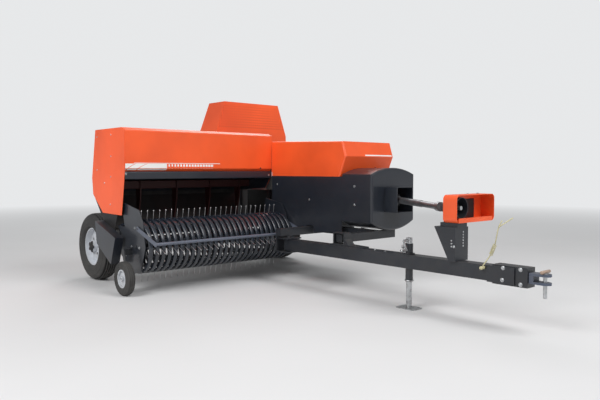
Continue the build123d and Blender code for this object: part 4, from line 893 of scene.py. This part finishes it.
# %% Press the bands
band_radius = 0.266
arc_turn = np.radians(np.linspace(-165, 105, 82))
arc = np.stack([np.cos(arc_turn), np.sin(arc_turn)], axis=-1) * band_radius + reel_centre[[0, 2]]
tail = np.array([axle_x + 0.645, 0.652])
share = np.linspace(0, 1, 8)[1:, None]
band_path = np.concatenate([arc, arc[-1] * (1 - share) + tail * share])
band_along = unit(np.gradient(band_path, axis=0))
band_out = np.stack([band_along[:, 1], -band_along[:, 0]], axis=-1)
q = np.radians(np.linspace(-90, 90, 17))
rise = 0.005 - 0.019 * np.abs(np.sin(q)) ** 8
section = np.concatenate([
    np.stack([0.0225 * np.sin(q), rise], axis=-1),
    np.stack([0.0200 * np.sin(q), rise - 0.0025], axis=-1)[::-1],
])
band_y = first_tooth - tooth_pitch / 2 + np.arange(tooth_count + 1) * tooth_pitch
line = band_path[:, None, :] + band_out[:, None, :] * section[None, :, 1:2]
one_band = np.stack([line[..., 0], np.broadcast_to(section[:, 0], line.shape[:2]), line[..., 1]], axis=-1)
faces = grid_faces(len(band_path), len(section), False, True)
straight = np.repeat(np.eye(3)[None], len(band_y), axis=0)
places = np.stack([0 * band_y, band_y, 0 * band_y], axis=-1)
bands = make_piece("stripper_bands", copied((one_band.reshape(-1, 3), faces), straight, places),
                   "pickup", "band_paint")
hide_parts("strippers")

# %% [markdown]
# ## White film on the hood
# A solid stripe, a row of dashes that grow closer together, and a hairline above them run along
# the front of the hood. The sheet slopes, so each strip's corners are cast at it by rays first,
# and then the strip is lifted off by a third of a millimetre. Strips of mesh need no image and
# keep their edges sharp from near.

# %% Lay a film on a sheet


def film(name, node, quads, body, slot_name="white_film", lift=0.0003):
    """Flat four-cornered strips laid on the front of a piece. A quad is four (y, z) corners."""
    corners = np.array(quads, float).reshape(-1, 2)
    depths = []
    for y, z in corners:
        hit, place, *_ = nodes[node].ray_cast(Vector((high(node)[0] + 0.1, y, z)), Vector((-1, 0, 0)))
        depths.append(place[0] + lift if hit else np.nan)
    print("  corners off the sheet:", int(np.isnan(depths).sum()))
    points = np.column_stack([depths, corners])
    faces = np.arange(len(points)).reshape(-1, 4)
    whole = ~np.isnan(points[faces][..., 0]).any(axis=1)
    return make_piece(name, (points, faces[whole]), body, slot_name, smooth=False)


def strip(y0, y1, z0, z1):
    """An upright rectangle as four corners."""
    return [(y0, z0), (y1, z0), (y1, z1), (y0, z1)]


print("one strip has the corners", strip(0, 1, 0, 1))

# %% Cut the stripes
bottom, fold, top = 1.219, 1.2372, 1.285
levels = np.concatenate([np.linspace(bottom, fold, 4), np.linspace(fold, top, 9)[1:]])
height = (levels - levels[0]) / np.ptp(levels)
first_cut = -1.330 + 0.10 * height**1.6
second_cut = -1.215 + 0.115 * height**1.6


def slanted(left, right):
    """The area between two curves, row by row of the levels."""
    left, right = np.broadcast_to(left, levels.shape), np.broadcast_to(right, levels.shape)
    rows = zip(left[:-1], right[:-1], levels[:-1], left[1:], right[1:], levels[1:])
    return [[(a, z0), (b, z0), (d, z1), (c, z1)] for a, b, z0, c, d, z1 in rows]


stripe_start, first_dash, dash_pitch, dash_count, dash_top = -1.345, -0.877, 0.036, 16, 1.280
widest_gap, gap_loss = 0.020, 0.014
number = np.arange(dash_count)
starts = first_dash + number * dash_pitch + widest_gap - gap_loss * number / (dash_count - 1)
ends = first_dash + dash_pitch + number * dash_pitch
solid = slanted(stripe_start, first_cut - 0.004) + slanted(first_cut + 0.006, second_cut - 0.006)
solid += slanted(second_cut + 0.004, first_dash)
dashes = [strip(start, end, fold + 0.0004, dash_top) for start, end in zip(starts, ends)]
hairline = strip(-1.25, -0.21, 1.2875, 1.2935)
film("hood_stripe", "pickup_hood", solid + dashes + [hairline], "chassis")
edges = np.linspace(0.845, 1.30, 24)
film("cover_stripe", "front_cover", [strip(a, b, 1.372, 1.386) for a, b in zip(edges, edges[1:])], "chassis")

# %% [markdown]
# ## Dark rubber blocks in the hood
# The gap between the hood's back and the feed table is closed with a dark rubber strip, and a flap
# closes the corner between the hood's left end and the housing, so no light shows through and both
# places stay dark as painted shade. Both are plain blocks: a cube with a bevel would do, but a block
# from two corners takes its place straight from its neighbours.

# %% Seal the hood


def block(lowest, highest, bevel=0.0):
    """A box with the edges of its bottom and top cut off, from four-cornered rings."""
    lowest, highest = np.asarray(lowest, float), np.asarray(highest, float)
    centre, half = (lowest + highest) / 2, (highest - lowest) / 2
    ring = np.array([[1, 1], [-1, 1], [-1, -1], [1, -1]], float)
    sizes = (0, half[:2] - bevel, half[:2], half[:2], half[:2] - bevel, 0)
    heights = np.array([-half[2], -half[2], bevel - half[2], half[2] - bevel, half[2], half[2]])
    flat = np.stack([ring * size for size in sizes])
    points = np.concatenate([flat, np.broadcast_to(heights[:, None, None], (6, 4, 1))], axis=-1)
    return points.reshape(-1, 3) + centre, grid_faces(6, 4, False, True)


table_high, end_high = high("feed_table"), high("hood_end_left")
# painted shade: dark rubber blocks that close the gaps in the hood
seam_shade_block = block([low("feed_table")[0] - 0.004, low("pickup_hood")[1] + 0.004, table_high[2] - 0.020],
             [low("feed_table")[0] + 0.014, high("pickup_hood")[1] - 0.004, table_high[2] + 0.022])
corner_block_bottom, corner_block_top = 0.985, 1.146
corner_shade_block = block([end_high[0] - 0.110, end_high[1] + 0.0005, corner_block_bottom],
             [end_high[0] + 0.0035, end_high[1] + 0.0030, corner_block_top])
make_piece("hood_shade_blocks", joined([seam_shade_block, corner_shade_block]), "chassis", "tyre_rubber", smooth=False)

# %% [markdown]
# ## Handles
# Each cover that opens has a bent bar to lift it by. The bar is a rounded path, and it goes on the
# sheet like a bolt does, where a ray meets it.

# %% Bend the handles


def rounded(corners, radius, steps=6):
    """A path through corners with each inner corner rounded: a curve that leaves the first side and
    meets the second, p = (1-t)^2 a + 2 t (1-t) corner + t^2 b."""
    corners = np.asarray(corners, float)
    before, corner, after = corners[:-2], corners[1:-1], corners[2:]
    a = corner + unit(before - corner) * radius
    b = corner + unit(after - corner) * radius
    t = np.linspace(0, 1, steps)[None, :, None]
    bends = (1 - t) ** 2 * a[:, None] + 2 * t * (1 - t) * corner[:, None] + t**2 * b[:, None]
    return np.concatenate([corners[:1], bends.reshape(-1, 3), corners[-1:]])


grip_path = rounded([(-0.065, 0, -0.004), (-0.065, 0, 0.034), (0.065, 0, 0.034), (0.065, 0, -0.004)], 0.014)
handle = swept(grip_path, 0.0048)
fastened("handle_tower", handle, "knotter_cover", "back", [(0.915, 1.26)], slot_name="zinc")
fastened("handle_lid", handle, "twine_lid", "left", [(0.655, 1.093)], 0.8, "zinc")

# %% [markdown]
# ## Fittings of the drawbar
# The rod that holds the hydraulic hoses has a spring in its middle. A spring is a helix about a
# slanted line: start + t (end - start) + r (u cos a + v sin a), with a = 2 pi turns t.

# %% Wind the hose holder


def at(x, y, z):
    """A place measured forward from the axle, from the middle line and from the ground."""
    return np.array([axle_x + x, y, z])


def wound(start, end, radius, turns):
    """The path of a spring from start to end and, for each point, the direction away from its axis."""
    start, end = np.asarray(start, float), np.asarray(end, float)
    share = np.linspace(0, 1, int(turns * 16) + 1)[:, None]
    first, second, _ = facing([end - start])[0].T
    away = first * np.cos(2 * np.pi * turns * share) + second * np.sin(2 * np.pi * turns * share)
    return start + share * (end - start) + radius * away, away


def round_bar(profile, direction, place):
    """A profile turned about a direction, from a place on."""
    return copied(turned(profile, 24), facing([direction]), np.asarray(place, float)[None])


holder_y = high("hose_holder")[1] - 0.034
foot, spring_foot, spring_top, fork, short_tip, long_tip = (
    at(x, holder_y, z) for x, z in
    ((4.026, 0.460), (4.104, 0.569), (4.140, 0.652), (4.167, 0.786), (4.196, 0.839), (4.285, 0.864))
)
spring_path, spring_side = wound(spring_foot, spring_top, 0.0125, 9)
holder = joined([
    round_bar([(0, 0), (0.012, 0), (0.014, 0.003), (0.014, 0.044), (0, 0.044)], (0, -1, 0),
              [foot[0], high("hose_holder")[1], foot[2]]),
    swept(np.linspace(foot, spring_foot, 4), 0.005),
    swept(spring_path, 0.0032, spring_side, 6),
    swept(rounded([spring_top, fork, long_tip], 0.02), 0.0045),
    swept(np.linspace(fork, short_tip, 4), 0.0045),
])
piece = make_piece("hose_spring", holder, body_of_node["hose_holder"], "cream_rod")
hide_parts("hose_holder")

# %% [markdown]
# ## Grips, crank and plate
# The hitch pin has a plastic grip and the jack's crank a plated one, a collar ends the jack's tube,
# and a black plate closes the back of the shaft's guard. All are turned profiles or blocks.

# %% Put on the grips and the plate
finishes["tan_grip"] = paint("grip_tan", rgb(172, 146, 128), 0.5, 0.1, 0.15, 0.1)
pin_grip = [(0.0, 0.0), (0.0100, 0.0), (0.0128, 0.004), (0.0128, 0.066), (0.0118, 0.124), (0.0, 0.128)]
pin_end = [middle("hitch_pin")[0], low("hitch_pin")[1] - 0.004, high("hitch_pin")[2] - 0.009]
grip = round_bar(pin_grip, (0, 1, 0), pin_end)
make_piece("hitch_pin_grip", grip, body_of_node["hitch_pin"], "tan_grip")

crank_end = low("jack_head")[1]
jack_x, jack_y, _ = middle("jack_tube")
jack_bottom, jack_top = low("jack_tube")[2], high("jack_tube")[2]
crank_grip = [(0.0, 0.0), (0.0105, 0.0), (0.0125, 0.003), (0.0125, 0.070), (0.0105, 0.075), (0.0, 0.075)]
crank_boss = [(0.0, 0.0), (0.008, 0.0), (0.008, 0.03), (0.017, 0.032), (0.017, 0.045), (0.0, 0.048)]
collar = [(0.034, 0.0), (0.039, 0.0), (0.039, 0.010), (0.034, 0.010)]
fittings = joined([
    round_bar(crank_grip, (0, 1, 0), [jack_x + 0.030, crank_end - 0.0005, jack_top - 0.050]),
    round_bar(crank_boss, (-1, 0, 0), [jack_x - 0.030, jack_y, jack_top - 0.035]),
    round_bar(collar, (0, 0, 1), [jack_x, jack_y, jack_bottom + 0.004]),
])
make_piece("jack_fittings", fittings, "drawbar_body", "zinc")

plate = block(
    [low("pto_guard")[0] + 0.005, 0.100, 0.806], [low("pto_guard")[0] + 0.012, 0.500, 0.977], 0.002
)
make_piece("guard_plate", plate, "drawbar_body", "black_iron", smooth=False)

# %% [markdown]
# ## The floor
# A pale floor catches the shadow. Far from the machine it fades into the backdrop by its distance
# from the middle, so there is no horizon line.

# %% Lay the floor
pale = (0.80, 0.81, 0.82, 1.0)
floor_finish = Finish("studio_floor")
floor_tone = floor_finish.mix(floor_finish.noise(0.8, 2), rgb(214, 214, 214), rgb(220, 220, 221))
distance = floor_finish.node("VectorMath", {"operation": "LENGTH"}, {0: floor_finish.place}, out="Value")
lit = floor_finish.node("BsdfPrincipled", None, {"Base Color": floor_tone, "Roughness": 0.8})
glow = floor_finish.node("Emission", None, {"Color": pale, "Strength": 1.0})
fade_start, fade_end = 5.0, 17.0
fade = distance.between(fade_start, fade_end)
floor_finish.end(floor_finish.node("MixShader", None, {0: fade, 1: lit, 2: glow}))
floor_mesh = bpy.data.meshes.new("floor")
reach = 90.0
floor_mesh.from_pydata(
    [(-reach, -reach, 0), (reach, -reach, 0), (reach, reach, 0), (-reach, reach, 0)], [], [(0, 1, 2, 3)]
)
floor_mesh.materials.append(floor_finish.material)
floor = bpy.data.objects.new("floor", floor_mesh)
bpy.context.scene.collection.objects.link(floor)
print("floor fades from", fade_start, "to", fade_end, "m")

# %% [markdown]
# ## The world
# The world lights evenly, and Is Camera Ray shows it brighter to the camera than it shines on the
# machine, so a pale background needs no extra light.

# %% Paint the sky
world = bpy.data.worlds.new("studio")
bpy.context.scene.world = world
world.use_nodes = True
sky = world.node_tree
sky.nodes.clear()
world_light = 0.38
from_camera = add_node(sky, "LightPath", out="Is Camera Ray")
strength = from_camera * (1.0 - world_light) + world_light
background = add_node(sky, "Background", None, {"Color": pale, "Strength": strength})
add_node(sky, "OutputWorld", None, {"Surface": background})
print("the world shines at", world_light)

# %% [markdown]
# ## The lamps
# One large soft lamp stands on the side that the camera sees, a weaker one in front and one behind.
# Large lamps make soft shadows, and at this level a colour renders about as it is written.

# %% Hang the lamps
for name, place, power, size in (
    ("key", (axle_x + 3.0, -8.0, 6.5), 560.0, 5.0),
    ("front", (axle_x + 8.0, 1.0, 7.0), 430.0, 4.0),
    ("back", (axle_x - 5.0, 5.0, 6.0), 220.0, 4.0),
):
    lamp = bpy.data.lights.new(name, "AREA")
    lamp.energy = power
    lamp.size = size
    holder = bpy.data.objects.new(name, lamp)
    bpy.context.scene.collection.objects.link(holder)
    holder.location = place
    aim = Vector((axle_x + 1.2, 0.0, 0.8)) - Vector(place)
    holder.rotation_euler = aim.to_track_quat("-Z", "Y").to_euler()

bpy.context.scene.view_settings.view_transform = "Standard"

# %% The end
